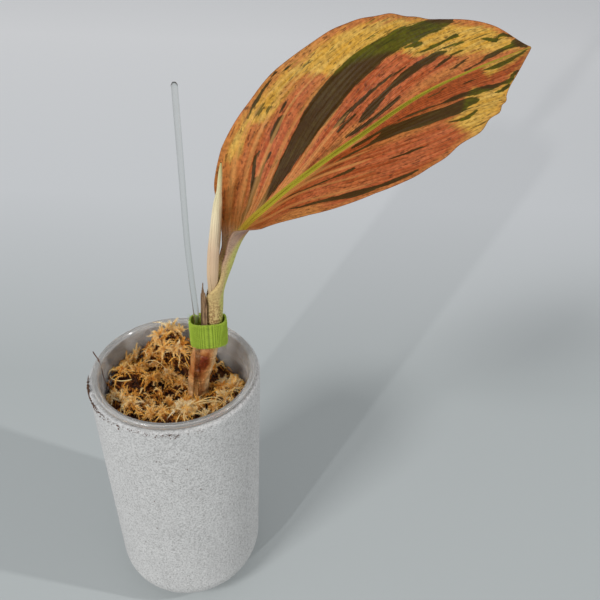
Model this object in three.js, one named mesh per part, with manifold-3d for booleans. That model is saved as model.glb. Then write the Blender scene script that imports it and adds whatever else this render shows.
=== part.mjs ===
// A young peacock ginger with one variegated leaf, in a stone-grey pot with a clear inner cup.
// Millimetres, +Z up. The origin is the centre of the pot's foot, on the surface that it stands on.
// The leaf reaches out to +X, and its upper face is turned up and towards -Y.

import * as THREE from "three";
import { mergeVertices } from "three/addons/utils/BufferGeometryUtils.js";
import Module from "manifold-3d";

const wasm = await Module();
wasm.setup();

// Gap kept between pieces that touch
const clearance = 0.3;
// Sides of every piece that is turned about the vertical axis
const roundSides = 44;

// Pot
const potHeight = 144;
const potRimRadius = 41;
const potFootRadius = 18;
const potHeelRadius = 21.2;
const potWall = 4;
const potFloor = 6;
const potRimRounding = 1;
const potMouthChamfer = 0.6;

// Clear cup that hangs in the pot by its lip
const cupLipRadius = 39;
const cupLipHeight = 2.2;
const cupCollarRadius = 36.6;
const cupCollarDepth = 6;
const cupStep = 1.3;
const cupBottomRadius = 27;
const cupBottom = 34;
const cupWall = 0.9;
const cupHeel = 1.5;
const cupLipRounding = 0.6;

// Moss that fills the cup: height of its surface, and the mounds on it as [x, y, rise, spread]
const mossLevel = 131;
const mossMounds = [
  [-26, 2, 9, 14],
  [-8, 27, 16, 12],
  [-17, -22, 8, 11],
  [4, -27, 9, 12],
  [27, -6, 6, 11],
  [-3, -6, -5, 8],
  [27, 22, -7, 12],
  [10, 4, -5, 9],
];
const mossRings = 6;
const sprigCount = 34;
const sprigLength = 11;
const sprigRadius = 1.15;
const sprigSpread = 29;
const sprigSink = 1.2;

// Rhizome: the brown stem base, as [x, y, z, radius]
const stemStations = [
  [8.2, 3, 92, 2.2],
  [8.6, 3, 98, 4.6],
  [9.4, 3, 124, 4.4],
  [11.8, 3, 137, 4.8],
  [14.2, 3, 148, 4.2],
  [16.1, 2.8, 155.5, 4.3],
  [18, 2.5, 160.5, 4.1],
  [18.6, 2.4, 164.4, 4],
];
const rootCrown = [8.8, 3, 99];
const rootCount = 5;
const rootLength = 34;
const rootRadius = 1.3;
const rootReach = 9;
const rootReachSpread = 5;

// Leaf route along the middle of its upper face, from inside the tie to the tip
const leafRoute = [
  [21.9, 2.4, 164.5],
  [23.3, 2.4, 180],
  [24.3, 2.8, 193.5],
  [27.3, 2.6, 206],
  [34.2, -1.6, 224.3],
  [46.4, -1.2, 237.8],
  [61.9, -0.6, 252],
  [79.2, -1.9, 267],
  [99.8, -0.2, 282.5],
  [121.9, 9.4, 290.6],
  [138.9, 9.7, 298.2],
];
// Along that route: [mm from its start, value]
const bladeStart = 63;
const leafEnd = 194.4;
const leafFacing = [
  [0, [-1, 0, 0]],
  [20, [-1, 0, 0]],
  [32, [-0.9, -0.42, 0]],
  [46, [-0.93, -0.36, 0]],
  [63, [-0.8, -0.59, 0.15]],
  [95, [-0.66, -0.55, 0.51]],
  [127, [-0.53, -0.68, 0.51]],
  [160, [-0.33, -0.64, 0.69]],
  [leafEnd, [-0.33, -0.31, 0.89]],
];
const leafHalfWidth = [
  [0, 10],
  [21, 10],
  [27, 7.5],
  [34, 4.8],
  [48, 4.6],
  [56, 6.5],
  [63, 11.5],
  [71, 23],
  [81, 29.5],
  [95, 34.8],
  [114, 37.8],
  [134, 37],
  [153, 31.2],
  [165, 25.6],
  [176, 21],
  [185, 14.5],
  [leafEnd, 0.4],
];
const leafFold = [
  [0, 0],
  [27, 0],
  [34, 8],
  [46, 80],
  [63, 52],
  [78, 35],
  [108, 38],
  [153, 23],
  [leafEnd, 10],
];
const leafCurl = [
  [0, 172],
  [21, 172],
  [27, 132],
  [34, 82],
  [47, 4],
  [63, 41],
  [101, 0],
  [leafEnd, 0],
];
const leafThickness = [
  [0, 0.9],
  [50, 0.9],
  [75, 0.7],
  [leafEnd, 0.7],
];
// Fleshy rib under the middle
const leafRib = [
  [0, 0],
  [24, 0.2],
  [42, 1.7],
  [70, 1.6],
  [120, 0.9],
  [leafEnd, 0.1],
];
const ribSpread = 1.9;
const foldLength = 3;
const pleatDepth = 0.35;
const pleatsPerHalf = 5;
// Scallops of the margin near the tip, from one station to another
const marginWave = 1.1;
const marginWaveLength = 9.5;
const marginWaveFrom = 133;
const marginWaveTo = 183;
const leafRows = 52;
const leafHalfColumns = 9;
const leafTurnSteps = 60;

// Rolled new leaf, as [x, y, z, radius]
const spearStations = [
  [18.8, 2.4, 165.1, 2.5],
  [20.2, 2.3, 180, 2.5],
  [20.5, 2.1, 189, 2.5],
  [20.8, 0.9, 195, 2.5],
  [21.1, -1.2, 202, 2.5],
  [22, -2.8, 212, 2.4],
  [23.6, -5.2, 223.5, 2.2],
  [25, -7.4, 234, 1.85],
  [26.5, -10, 245, 1.4],
  [27.5, -12.2, 253, 0.95],
  [28.4, -14.2, 260, 0.35],
];

// Dry scale beside the living sheath
const scaleRadius = 4.7;
const scaleWall = 0.8;
const scaleBottom = 165.4;
const scaleTop = 196;
const scaleFrom = 158;
const scaleTo = 246;
const scaleFoot = [18.7, 2.4];
const scaleLean = 0.077;
const scaleColumns = 13;
const scaleRows = 9;

// Tie: oval band round the rod and the sheath
const tieCentre = [17.1, 1.5];
const tieHalfLength = 9.3;
const tieHalfDepth = 6.8;
const tieTurn = 14;
const tieWall = 1.1;
const tieBottom = 160.6;
const tieTop = 175;
const tieRibs = 34;
const tieRibHeight = 0.3;
const tieSquareness = 0.85;

// Clear support rod
const rodRadius = 1.3;
const rodRoute = [
  [9.6, 6, 282.2],
  [10.2, 3, 252.6],
  [10.7, 0.5, 215.3],
  [11.6, -0.9, 198.3],
  [12.5, -1.4, 178],
  [12.1, -2.2, 158],
  [10.2, -3.9, 139],
  [7.4, -5, 100],
  [4.6, -6, 62],
];

// Hermite curve through [station, value] pairs that never overshoots them
function valueAt(table, station) {
  let k = 0;
  while (k < table.length - 2 && station > table[k + 1][0]) k += 1;
  const slope = (i) => (table[i + 1][1] - table[i][1]) / (table[i + 1][0] - table[i][0]);
  const tangent = (i) => {
    if (i === 0) return slope(0);
    if (i === table.length - 1) return slope(i - 1);
    const before = slope(i - 1);
    const after = slope(i);
    return before * after <= 0 ? 0 : (2 * before * after) / (before + after);
  };
  const span = table[k + 1][0] - table[k][0];
  const t = THREE.MathUtils.clamp((station - table[k][0]) / span, 0, 1);
  const rise = 3 * t * t - 2 * t * t * t;
  const bend = span * (t * (1 - t) * (1 - t) * tangent(k) - t * t * (1 - t) * tangent(k + 1));
  return table[k][1] * (1 - rise) + table[k + 1][1] * rise + bend;
}

// The same for [station, [x, y, z]] pairs
function vectorAt(table, station) {
  const part = (axis) => valueAt(table.map(([at, v]) => [at, v[axis]]), station);
  return new THREE.Vector3(part(0), part(1), part(2));
}

// Repeatable random numbers
function seeded(seed) {
  let state = seed;
  return () => {
    state = (state * 1664525 + 1013904223) % 4294967296;
    return state / 4294967296;
  };
}

// Closed geometry to solid, and back
function solidOf(geometry) {
  const bare = geometry.clone();
  bare.deleteAttribute("normal");
  bare.deleteAttribute("uv");
  const merged = mergeVertices(bare, 1e-4);
  return new wasm.Manifold(
    new wasm.Mesh({
      numProp: 3,
      vertProperties: merged.attributes.position.array,
      triVerts: new Uint32Array(merged.index.array),
    }),
  );
}

function geometryOf(solid) {
  const mesh = solid.getMesh();
  const geometry = new THREE.BufferGeometry();
  geometry.setAttribute("position", new THREE.BufferAttribute(mesh.vertProperties, 3));
  geometry.setIndex(new THREE.BufferAttribute(mesh.triVerts, 1));
  geometry.computeVertexNormals();
  return geometry;
}

// The largest body of a solid that a cut has left in pieces
function largestBody(solid) {
  return solid.decompose().reduce((a, b) => (b.volume() > a.volume() ? b : a));
}

// Round piece turned about the vertical axis
function turned(profile, segments) {
  const points = profile.map(([r, z]) => new THREE.Vector2(r, z));
  const geometry = new THREE.LatheGeometry(points, segments);
  geometry.rotateX(Math.PI / 2);
  return geometry;
}

// Points on a quarter turn of radius r about [x, z], from one angle to another in degrees
function arc(x, z, r, from, to, steps) {
  return Array.from({ length: steps + 1 }, (_, i) => {
    const angle = THREE.MathUtils.degToRad(from + ((to - from) * i) / steps);
    return [x + r * Math.cos(angle), z + r * Math.sin(angle)];
  });
}

// Tapered round bar: a cylinder whose rings are carried along a curve
function bar(curve, radiusAt, sides, steps) {
  const geometry = new THREE.CylinderGeometry(1, 1, 1, sides, steps);
  const position = geometry.attributes.position;
  const frames = curve.computeFrenetFrames(steps, false);
  for (let i = 0; i < position.count; i += 1) {
    const t = THREE.MathUtils.clamp(0.5 - position.getY(i), 0, 1);
    const ring = Math.round(t * steps);
    const radius = radiusAt(t);
    const place = curve.getPointAt(t);
    place.addScaledVector(frames.normals[ring], position.getX(i) * radius);
    place.addScaledVector(frames.binormals[ring], position.getZ(i) * radius);
    position.setXYZ(i, place.x, place.y, place.z);
  }
  return geometry;
}

// Bar through [x, y, z, radius] stations, made larger all round by grow
function barThrough(stations, sides, steps, grow = 0) {
  const points = stations.map(([x, y, z]) => new THREE.Vector3(x, y, z));
  const last = points.length - 1;
  points[0].add(points[0].clone().sub(points[1]).setLength(grow));
  points[last].add(points[last].clone().sub(points[last - 1]).setLength(grow));
  const curve = new THREE.CatmullRomCurve3(points, false, "centripetal");
  const lengths = curve.getLengths(400);
  const total = lengths[400];
  const table = stations.map((station, i) => {
    const at = lengths[Math.round((400 * i) / (stations.length - 1))];
    return [at / total, station[3] + grow];
  });
  return solidOf(bar(curve, (t) => valueAt(table, t), sides, steps));
}

function makePot() {
  const innerHeel = potHeelRadius - potWall;
  const profile = [
    [0, 0],
    ...arc(potFootRadius, potHeelRadius, potHeelRadius, -90, 0, 8),
    [potRimRadius, potHeight - potRimRounding],
    [potRimRadius - potRimRounding, potHeight],
    [potRimRadius - potWall + potMouthChamfer, potHeight],
    [potRimRadius - potWall, potHeight - potMouthChamfer],
    ...arc(potFootRadius, potFloor + innerHeel, innerHeel, 0, -90, 4),
    [0, potFloor],
  ];
  return turned(profile, roundSides);
}

// Inner wall of the cup at height z
function cupInnerRadius(z) {
  const stepTop = potHeight + clearance - cupCollarDepth;
  const top = cupCollarRadius - cupStep - cupWall;
  const bottom = cupBottomRadius - cupWall;
  const t = THREE.MathUtils.clamp((z - cupBottom) / (stepTop - cupBottom), 0, 1);
  return bottom + (top - bottom) * t;
}

function makeCup() {
  const seat = potHeight + clearance;
  const lipTop = seat + cupLipHeight;
  const step = seat - cupCollarDepth;
  const shoulder = cupCollarRadius - cupStep;
  const profile = [
    [0, cupBottom],
    [cupBottomRadius - cupHeel, cupBottom],
    [cupBottomRadius, cupBottom + cupHeel],
    [shoulder, step],
    [cupCollarRadius, step + cupStep],
    [cupCollarRadius, seat],
    [cupLipRadius - cupLipRounding, seat],
    [cupLipRadius, seat + cupLipRounding],
    [cupLipRadius, lipTop - cupLipRounding],
    [cupLipRadius - cupLipRounding, lipTop],
    [cupCollarRadius, lipTop],
    [cupCollarRadius - cupWall, lipTop - cupLipRounding],
    [cupCollarRadius - cupWall, step + cupStep],
    [shoulder - cupWall, step],
    [cupBottomRadius - cupWall, cupBottom + cupWall + cupHeel],
    [cupBottomRadius - cupWall - cupHeel, cupBottom + cupWall],
    [0, cupBottom + cupWall],
  ];
  return turned(profile, roundSides);
}

function mossHeight(x, y) {
  return mossMounds.reduce((height, [mx, my, rise, spread]) => {
    const near = ((x - mx) ** 2 + (y - my) ** 2) / (spread * spread);
    return height + rise * Math.exp(-near);
  }, mossLevel);
}

// Rhizome with fleshy roots that spread down through the moss
function rhizome(grow) {
  const random = seeded(7);
  let solid = barThrough(stemStations, 12, 16, grow);
  for (let i = 0; i < rootCount; i += 1) {
    const angle = (2 * Math.PI * (i + 0.3 * random())) / rootCount;
    const reach = rootReach + rootReachSpread * random();
    const start = rootCrown[2] + 2 * i;
    const low = start - rootLength + 6 * random();
    const outward = (share, z, radius) => {
      const x = rootCrown[0] + share * reach * Math.cos(angle);
      const y = rootCrown[1] + share * reach * Math.sin(angle);
      return [x, y, z, radius];
    };
    const route = [
      outward(0.12, start, rootRadius * 1.3),
      outward(1, start - 8, rootRadius),
      outward(1.15, low, rootRadius * 0.6),
    ];
    solid = solid.add(barThrough(route, 6, 6, grow));
  }
  return solid;
}

function supportRod(grow) {
  const stations = rodRoute.map((point) => [...point, rodRadius]);
  return barThrough(stations, 10, 22, grow);
}

// Bed of moss: its upper side follows the height formula, out to the wall of the cup
function mossBed() {
  const bottom = cupBottom + cupWall + clearance;
  const side = [bottom + cupHeel, 60, 90, 116];
  const profile = [
    [0, bottom],
    [cupBottomRadius - cupWall - cupHeel - clearance, bottom],
    ...side.map((z) => [cupInnerRadius(z) - clearance, z]),
  ];
  const surfaceFrom = profile.length;
  for (let i = mossRings; i >= 0; i -= 1) profile.push([i / mossRings, mossLevel]);
  const geometry = turned(profile, roundSides);
  const position = geometry.attributes.position;
  const wall = cupInnerRadius(mossLevel) - clearance;
  for (let i = 0; i < position.count; i += 1) {
    if (i % profile.length < surfaceFrom) continue;
    const share = Math.hypot(position.getX(i), position.getY(i));
    const angle = Math.atan2(position.getY(i), position.getX(i));
    const edge = mossHeight(wall * Math.cos(angle), wall * Math.sin(angle));
    const radius = share * (cupInnerRadius(edge) - clearance);
    const x = radius * Math.cos(angle);
    const y = radius * Math.sin(angle);
    position.setXYZ(i, x, y, mossHeight(x, y));
  }
  return solidOf(geometry);
}

// One curved, tapered sprig that lies over the surface of the moss
function mossSprig(random) {
  const angle = 2 * Math.PI * random();
  const distance = sprigSpread * Math.sqrt(random());
  const start = new THREE.Vector3(distance * Math.cos(angle), distance * Math.sin(angle), 0);
  const heading = 2 * Math.PI * random();
  const length = sprigLength * (0.7 + 0.6 * random());
  const ahead = new THREE.Vector3(Math.cos(heading), Math.sin(heading), 0);
  const lift = 1.2 + 3.2 * random();
  const turn = new THREE.Vector3(-ahead.y, ahead.x, 0).multiplyScalar(3 * (random() - 0.5));
  const along = (t) => {
    const point = start.clone().addScaledVector(ahead, length * (t - 0.15));
    point.addScaledVector(turn, t * t);
    const arch = Math.sin(Math.PI * (0.2 + 0.8 * t));
    point.z = mossHeight(point.x, point.y) - sprigSink + lift * arch;
    return point;
  };
  const curve = new THREE.CatmullRomCurve3([0, 0.33, 0.66, 1].map(along), false, "centripetal");
  return solidOf(bar(curve, (t) => sprigRadius * (1.05 - 0.8 * t), 4, 3));
}

function makeMoss() {
  const random = seeded(21);
  let solid = mossBed();
  for (let i = 0; i < sprigCount; i += 1) solid = solid.add(mossSprig(random));
  const side = [cupBottom, 60, 100, potHeight + clearance - cupCollarDepth];
  const above = potHeight + 30;
  const room = [
    [0, cupBottom],
    ...side.map((z) => [cupInnerRadius(z) - clearance, z]),
    [cupInnerRadius(above) - clearance, above],
    [0, above],
  ];
  solid = solid.intersect(solidOf(turned(room, roundSides)));
  solid = solid.subtract(rhizome(clearance)).subtract(supportRod(clearance));
  return geometryOf(largestBody(solid));
}

// Place, direction and facing of the leaf's middle line at a station
function leafFrame(curve, station) {
  const t = THREE.MathUtils.clamp(station / curve.getLength(), 0, 1);
  const along = curve.getTangentAt(t);
  const facing = vectorAt(leafFacing, station);
  facing.addScaledVector(along, -facing.dot(along)).normalize();
  const across = new THREE.Vector3().crossVectors(along, facing);
  return { point: curve.getPointAt(t), facing, across };
}

// Growth of the right margin by its scallops, which fade in and out along the route
function marginScallop(station) {
  const fadeIn = THREE.MathUtils.smoothstep(station, marginWaveFrom, marginWaveFrom + 25);
  const fadeOut = 1 - THREE.MathUtils.smoothstep(station, marginWaveTo - 8, marginWaveTo);
  return marginWave * fadeIn * fadeOut * Math.sin((2 * Math.PI * station) / marginWaveLength);
}

// Half section of the leaf: it leaves the middle at the fold angle and turns by the curl angle.
// Returns the point and the upper-face normal at each share of the half width.
function leafHalfSection(frame, station, side, shares) {
  const scallop = marginScallop(station) * (side > 0 ? 1 : 0.4);
  const width = valueAt(leafHalfWidth, station) + scallop;
  const fold = THREE.MathUtils.degToRad(valueAt(leafFold, station));
  const curl = THREE.MathUtils.degToRad(valueAt(leafCurl, station));
  const inBlade = THREE.MathUtils.smoothstep(station, bladeStart, bladeStart + 25);
  const headingAt = (share) => fold * THREE.MathUtils.smoothstep(share * width, 0, foldLength) + curl * share;
  const line = [];
  const place = frame.point.clone();
  const step = width / leafTurnSteps;
  for (let i = 0; i <= leafTurnSteps; i += 1) {
    const share = i / leafTurnSteps;
    if (share >= shares[line.length]) {
      const angle = headingAt(share);
      const normal = frame.facing.clone().multiplyScalar(Math.cos(angle));
      normal.addScaledVector(frame.across, -side * Math.sin(angle));
      const pleat = Math.sin(2 * Math.PI * pleatsPerHalf * share) * Math.sin(Math.PI * share);
      const point = place.clone().addScaledVector(normal, pleatDepth * inBlade * pleat);
      line.push({ point, normal, fromMiddle: share * width });
    }
    const heading = headingAt(share + 0.5 / leafTurnSteps);
    place.addScaledVector(frame.across, side * Math.cos(heading) * step);
    place.addScaledVector(frame.facing, Math.sin(heading) * step);
  }
  return line;
}

// Closed sheet from an upper and a lower grid of points, split alike on both faces
function sheet(upper, lower) {
  const rows = upper.length;
  const columns = upper[0].length;
  const position = [];
  [upper, lower].forEach((grid) => grid.flat().forEach((p) => position.push(p.x, p.y, p.z)));
  const at = (face, i, j) => face * rows * columns + i * columns + j;
  const index = [];
  const quad = (a, b, c, d) => index.push(a, b, c, a, c, d);
  for (let i = 0; i < rows - 1; i += 1) {
    for (let j = 0; j < columns - 1; j += 1) {
      quad(at(0, i, j), at(0, i, j + 1), at(0, i + 1, j + 1), at(0, i + 1, j));
      index.push(at(1, i, j), at(1, i + 1, j + 1), at(1, i, j + 1));
      index.push(at(1, i, j), at(1, i + 1, j), at(1, i + 1, j + 1));
    }
    quad(at(0, i, 0), at(0, i + 1, 0), at(1, i + 1, 0), at(1, i, 0));
    const last = columns - 1;
    quad(at(0, i, last), at(1, i, last), at(1, i + 1, last), at(0, i + 1, last));
  }
  for (let j = 0; j < columns - 1; j += 1) {
    quad(at(0, 0, j), at(1, 0, j), at(1, 0, j + 1), at(0, 0, j + 1));
    const end = rows - 1;
    quad(at(0, end, j), at(0, end, j + 1), at(1, end, j + 1), at(1, end, j));
  }
  const geometry = new THREE.BufferGeometry();
  geometry.setAttribute("position", new THREE.Float32BufferAttribute(position, 3));
  geometry.setIndex(index);
  return geometry;
}

function newSpear(grow) {
  return barThrough(spearStations, 10, 26, grow);
}

function makeLeaf() {
  const points = leafRoute.map((point) => new THREE.Vector3(...point));
  const curve = new THREE.CatmullRomCurve3(points, false, "centripetal");
  curve.arcLengthDivisions = 2000;
  const shares = Array.from({ length: leafHalfColumns + 1 }, (_, i) => {
    return Math.round(leafTurnSteps * (i / leafHalfColumns) ** 1.35) / leafTurnSteps;
  });
  const upper = [];
  const lower = [];
  for (let i = 0; i < leafRows; i += 1) {
    const station = (leafEnd * i) / (leafRows - 1);
    const frame = leafFrame(curve, station);
    const left = leafHalfSection(frame, station, -1, shares);
    const right = leafHalfSection(frame, station, 1, shares);
    const row = [...left.slice(1).reverse(), ...right];
    upper.push(row.map(({ point }) => point));
    lower.push(
      row.map(({ point, normal, fromMiddle }) => {
        const rib = valueAt(leafRib, station) * Math.exp(-((fromMiddle / ribSpread) ** 2));
        return point.clone().addScaledVector(normal, -valueAt(leafThickness, station) - rib);
      }),
    );
  }
  const solid = solidOf(sheet(upper, lower));
  return geometryOf(largestBody(solid.subtract(newSpear(clearance))));
}

// Curved strip round the sheath, with two ragged points at its top
function makeDryScale() {
  const outer = [];
  const inner = [];
  for (let i = 0; i < scaleRows; i += 1) {
    const t = i / (scaleRows - 1);
    const middle = (scaleFrom + scaleTo) / 2 + 6 * t;
    const reach = ((scaleTo - scaleFrom) / 2) * (1 - 0.62 * t);
    const ring = (radius) =>
      Array.from({ length: scaleColumns }, (_, j) => {
        const share = j / (scaleColumns - 1);
        const angle = THREE.MathUtils.degToRad(middle + reach * (2 * share - 1));
        const ragged = 1 - 0.3 * t * Math.abs(Math.sin(2.2 * Math.PI * share + 0.6));
        const rise = (scaleTop - scaleBottom) * t * ragged;
        const x = scaleFoot[0] + scaleLean * rise + radius * Math.cos(angle);
        const y = scaleFoot[1] + radius * Math.sin(angle);
        return new THREE.Vector3(x, y, scaleBottom + rise);
      });
    outer.push(ring(scaleRadius + scaleWall));
    inner.push(ring(scaleRadius));
  }
  return sheet(outer, inner);
}

// Ribbed oval band
function makeTie() {
  const around = tieRibs * 2;
  const ring = (grow, ribs) =>
    Array.from({ length: around }, (_, i) => {
      const angle = (2 * Math.PI * i) / around;
      const rib = ribs && i % 2 === 0 ? tieRibHeight : 0;
      const c = Math.cos(angle);
      const s = Math.sin(angle);
      const x = (tieHalfLength - grow + rib) * Math.sign(c) * Math.abs(c) ** tieSquareness;
      const y = (tieHalfDepth - grow + rib) * Math.sign(s) * Math.abs(s) ** tieSquareness;
      return new THREE.Vector2(x, y);
    });
  const shape = new THREE.Shape(ring(tieRibHeight, true));
  shape.holes.push(new THREE.Path(ring(tieWall, false)));
  return new THREE.ExtrudeGeometry(shape, { depth: tieTop - tieBottom, bevelEnabled: false });
}

function material(name, color, roughness, extra = {}) {
  return new THREE.MeshStandardMaterial({ name, color, roughness, metalness: 0, ...extra });
}

function mesh(name, geometry, look) {
  const piece = new THREE.Mesh(geometry, look);
  piece.name = name;
  return piece;
}

const stoneware = material("cast stone", 0xa9abac, 0.9);
const clearPlastic = material("clear plastic", 0xd8dcdc, 0.15, { transparent: true, opacity: 0.35 });
const acrylic = material("clear acrylic", 0xe4e8e8, 0.1, { transparent: true, opacity: 0.4 });
const driedMoss = material("dried moss", 0xb98a45, 0.95);
const rhizomeSkin = material("rhizome skin", 0x7a4a2c, 0.7);
const drySheath = material("dry sheath", 0x6b5138, 0.85);
const variegatedLeaf = material("variegated leaf", 0xa8643c, 0.5);
const paleShoot = material("pale shoot", 0xd9cfa4, 0.5);
const hookTape = material("woven hook tape", 0x7fa52e, 0.9);

const plant = new THREE.Group();
plant.add(mesh("pseudostem", geometryOf(rhizome(0)), rhizomeSkin));
plant.add(mesh("dry_sheath", makeDryScale(), drySheath));
plant.add(mesh("leaf", makeLeaf(), variegatedLeaf));
plant.add(mesh("new_leaf_spear", geometryOf(newSpear(0)), paleShoot));

const support = new THREE.Group();
support.add(mesh("support_rod", geometryOf(supportRod(0)), acrylic));
const tie = mesh("tie", makeTie(), hookTape);
tie.position.set(tieCentre[0], tieCentre[1], tieBottom);
tie.rotation.z = THREE.MathUtils.degToRad(tieTurn);
support.add(tie);

const holder = new THREE.Group();
holder.add(mesh("pot", makePot(), stoneware));
holder.add(mesh("inner_cup", makeCup(), clearPlastic));
holder.add(mesh("moss", makeMoss(), driedMoss));

const pottedGinger = new THREE.Group();
pottedGinger.add(holder);
pottedGinger.add(plant);
pottedGinger.add(support);

export default pottedGinger;
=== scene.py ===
# A young peacock ginger with one variegated leaf, in a stone-grey pot with a clear inner cup.
# Shapes are worked out in millimetres, +Z up, and written to the meshes in metres.
import math

import bpy
import numpy as np
from mathutils import Matrix


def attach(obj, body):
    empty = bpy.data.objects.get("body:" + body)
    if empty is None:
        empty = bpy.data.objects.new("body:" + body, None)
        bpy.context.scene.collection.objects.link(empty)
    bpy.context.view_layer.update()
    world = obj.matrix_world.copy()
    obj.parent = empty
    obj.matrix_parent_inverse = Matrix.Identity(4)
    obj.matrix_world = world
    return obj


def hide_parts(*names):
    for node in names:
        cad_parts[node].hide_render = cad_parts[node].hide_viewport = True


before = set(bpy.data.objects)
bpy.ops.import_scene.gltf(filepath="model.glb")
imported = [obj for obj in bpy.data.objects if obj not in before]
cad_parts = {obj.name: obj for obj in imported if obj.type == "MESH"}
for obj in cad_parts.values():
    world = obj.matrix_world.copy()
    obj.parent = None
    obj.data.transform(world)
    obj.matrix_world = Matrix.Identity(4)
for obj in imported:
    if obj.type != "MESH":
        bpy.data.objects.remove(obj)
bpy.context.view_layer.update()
mm = 0.001


# A hex colour as seen on a screen, turned to the linear values that the shader takes
def toLinear(hexColour, alpha=1.0):
    parts = [int(hexColour[i:i + 2], 16) / 255 for i in (0, 2, 4)]
    linear = [c / 12.92 if c <= 0.04045 else ((c + 0.055) / 1.055) ** 2.4 for c in parts]
    return (*linear, alpha)


# Adds one node: inputs are values or sockets by name or number, settings are the node's own properties.
# It returns the node, or the output that is asked for.
def addNode(tree, kind, inputs=None, output=None, **settings):
    node = tree.nodes.new(kind)
    for name, value in settings.items():
        setattr(node, name, value)
    for key, value in (inputs or {}).items():
        if isinstance(value, bpy.types.NodeSocket):
            tree.links.new(value, node.inputs[key])
        else:
            node.inputs[key].default_value = value
    return node if output is None else node.outputs[output]


# A material with its tree and its shader, and the sockets that its tables know by name: one for each
# field of the mesh, and one for each grain, a noise in object space (scale, detail, roughness, stretch up)
def newMaterial(name, fields=(), grains=None, **shader):
    material = bpy.data.materials.new(name)
    material.use_nodes = True
    tree = material.node_tree
    tree.nodes.clear()
    surface = addNode(tree, "ShaderNodeBsdfPrincipled", shader)
    addNode(tree, "ShaderNodeOutputMaterial", {"Surface": surface.outputs["BSDF"]})
    known = {"place": addNode(tree, "ShaderNodeTexCoord", output="Object")}
    for field in fields:
        known[field] = addNode(tree, "ShaderNodeAttribute", output="Fac", attribute_name=field)
    for grain, (scale, detail, roughness, stretch) in (grains or {}).items():
        place = addNode(tree, "ShaderNodeMapping", {
            "Vector": known["place"], "Scale": (1, 1, stretch),
        }, "Vector")
        known[grain] = addNode(tree, "ShaderNodeTexNoise", {
            "Vector": place, "Scale": scale, "Detail": detail, "Roughness": roughness,
        }, "Fac")
    return material, tree, surface, known


# Nodes from a table. Each row is the name of its result, what it does, and names, numbers or hex colours:
#   share: a source, the value where the share is 0, the value where it is 1, and its most
#   mix: the colour below, the colour above, and a share. lay: the same two, then what share takes
#   ramp: a source and stops. bump: a height, how deep in metres, and how strong
#   any other: an arithmetic operation. A result named as an input of the shader goes into it.
def wire(tree, surface, known, rows, easing="LINEAR"):
    for result, does, *values in rows:
        if does == "lay":
            both = [("laid", "share", *values[2:]), (result, "mix", *values[:2], "laid")]
            wire(tree, surface, known, both, easing)
            continue
        values = [known[v] if v in known else toLinear(v) if isinstance(v, str) else v for v in values]
        if does == "share":
            inputs = dict(zip(("Value", "From Min", "From Max", "To Max"), values))
            made = addNode(tree, "ShaderNodeMapRange", inputs, "Result", interpolation_type=easing)
        elif does == "mix":
            inputs = dict(zip(("Color1", "Color2", "Fac"), values))
            made = addNode(tree, "ShaderNodeMixRGB", inputs, "Color")
        elif does == "bump":
            inputs = dict(zip(("Height", "Distance", "Strength"), values))
            made = addNode(tree, "ShaderNodeBump", inputs, "Normal")
        elif does == "ramp":
            ramp = addNode(tree, "ShaderNodeValToRGB", {"Fac": values[0]})
            stops = ramp.color_ramp.elements
            first, *middle, last = values[1]
            stops[0].position, stops[0].color = first[0], toLinear(first[1])
            stops[1].position, stops[1].color = last[0], toLinear(last[1])
            for position, colour in middle:
                stops.new(position).color = toLinear(colour)
            made = ramp.outputs["Color"]
        else:
            made = addNode(tree, "ShaderNodeMath", dict(enumerate(values)), 0, operation=does)
        known[result] = made
        if result in surface.inputs:
            tree.links.new(made, surface.inputs[result])


# Angles that go once round, the last one left out
def turns(count):
    return np.linspace(0, 2 * np.pi, count, endpoint=False)


# Points at a distance from the vertical axis, at an angle and a height
def polar(r, angle, z):
    return np.stack(np.broadcast_arrays(r * np.cos(angle), r * np.sin(angle), z), -1)


# Smooth step from 0 at low to 1 at high
def smooth(value, low, high):
    t = np.clip((value - low) / (high - low), 0, 1)
    return t * t * (3 - 2 * t)


# Hermite curve through [station, value] pairs, with harmonic-mean slopes so that it never overshoots
def valueAt(table, station):
    table = np.array(table, float)
    x, y = table[:, 0], table[:, 1]
    slope = np.diff(y) / np.diff(x)
    tangent = np.r_[slope[0], np.zeros(len(x) - 2), slope[-1]]
    before, after = slope[:-1], slope[1:]
    rising = before * after > 0
    total = np.where(rising, before + after, 1)
    tangent[1:-1] = np.where(rising, 2 * before * after / total, 0)
    station = np.asarray(station, float)
    k = np.clip(np.searchsorted(x, station) - 1, 0, len(x) - 2)
    span = x[k + 1] - x[k]
    t = np.clip((station - x[k]) / span, 0, 1)
    rise = 3 * t * t - 2 * t ** 3
    bend = span * (t * (1 - t) ** 2 * tangent[k] - t * t * (1 - t) * tangent[k + 1])
    return y[k] * (1 - rise) + y[k + 1] * rise + bend


# Centripetal Catmull-Rom curve through the points, sampled evenly between each two
def smoothRoute(points, perSpan=120):
    points = np.array(points, float)
    p = np.vstack([2 * points[0] - points[1], points, 2 * points[-1] - points[-2]])
    d = np.sqrt(np.linalg.norm(np.diff(p, axis=0), axis=1))
    u = np.linspace(0, 1, perSpan, endpoint=False)[:, None]
    spans = []
    for i in range(1, len(p) - 2):
        a, b, c = d[i - 1:i + 2]
        start = ((p[i] - p[i - 1]) / a - (p[i + 1] - p[i - 1]) / (a + b)) * b + p[i + 1] - p[i]
        end = ((p[i + 2] - p[i + 1]) / c - (p[i + 2] - p[i]) / (b + c)) * b + p[i + 1] - p[i]
        spans.append(
            (2 * u ** 3 - 3 * u * u + 1) * p[i] + (u ** 3 - 2 * u * u + u) * start
            + (3 * u * u - 2 * u ** 3) * p[i + 1] + (u ** 3 - u * u) * end
        )
    return np.vstack(spans + [points[-1:]])


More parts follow.
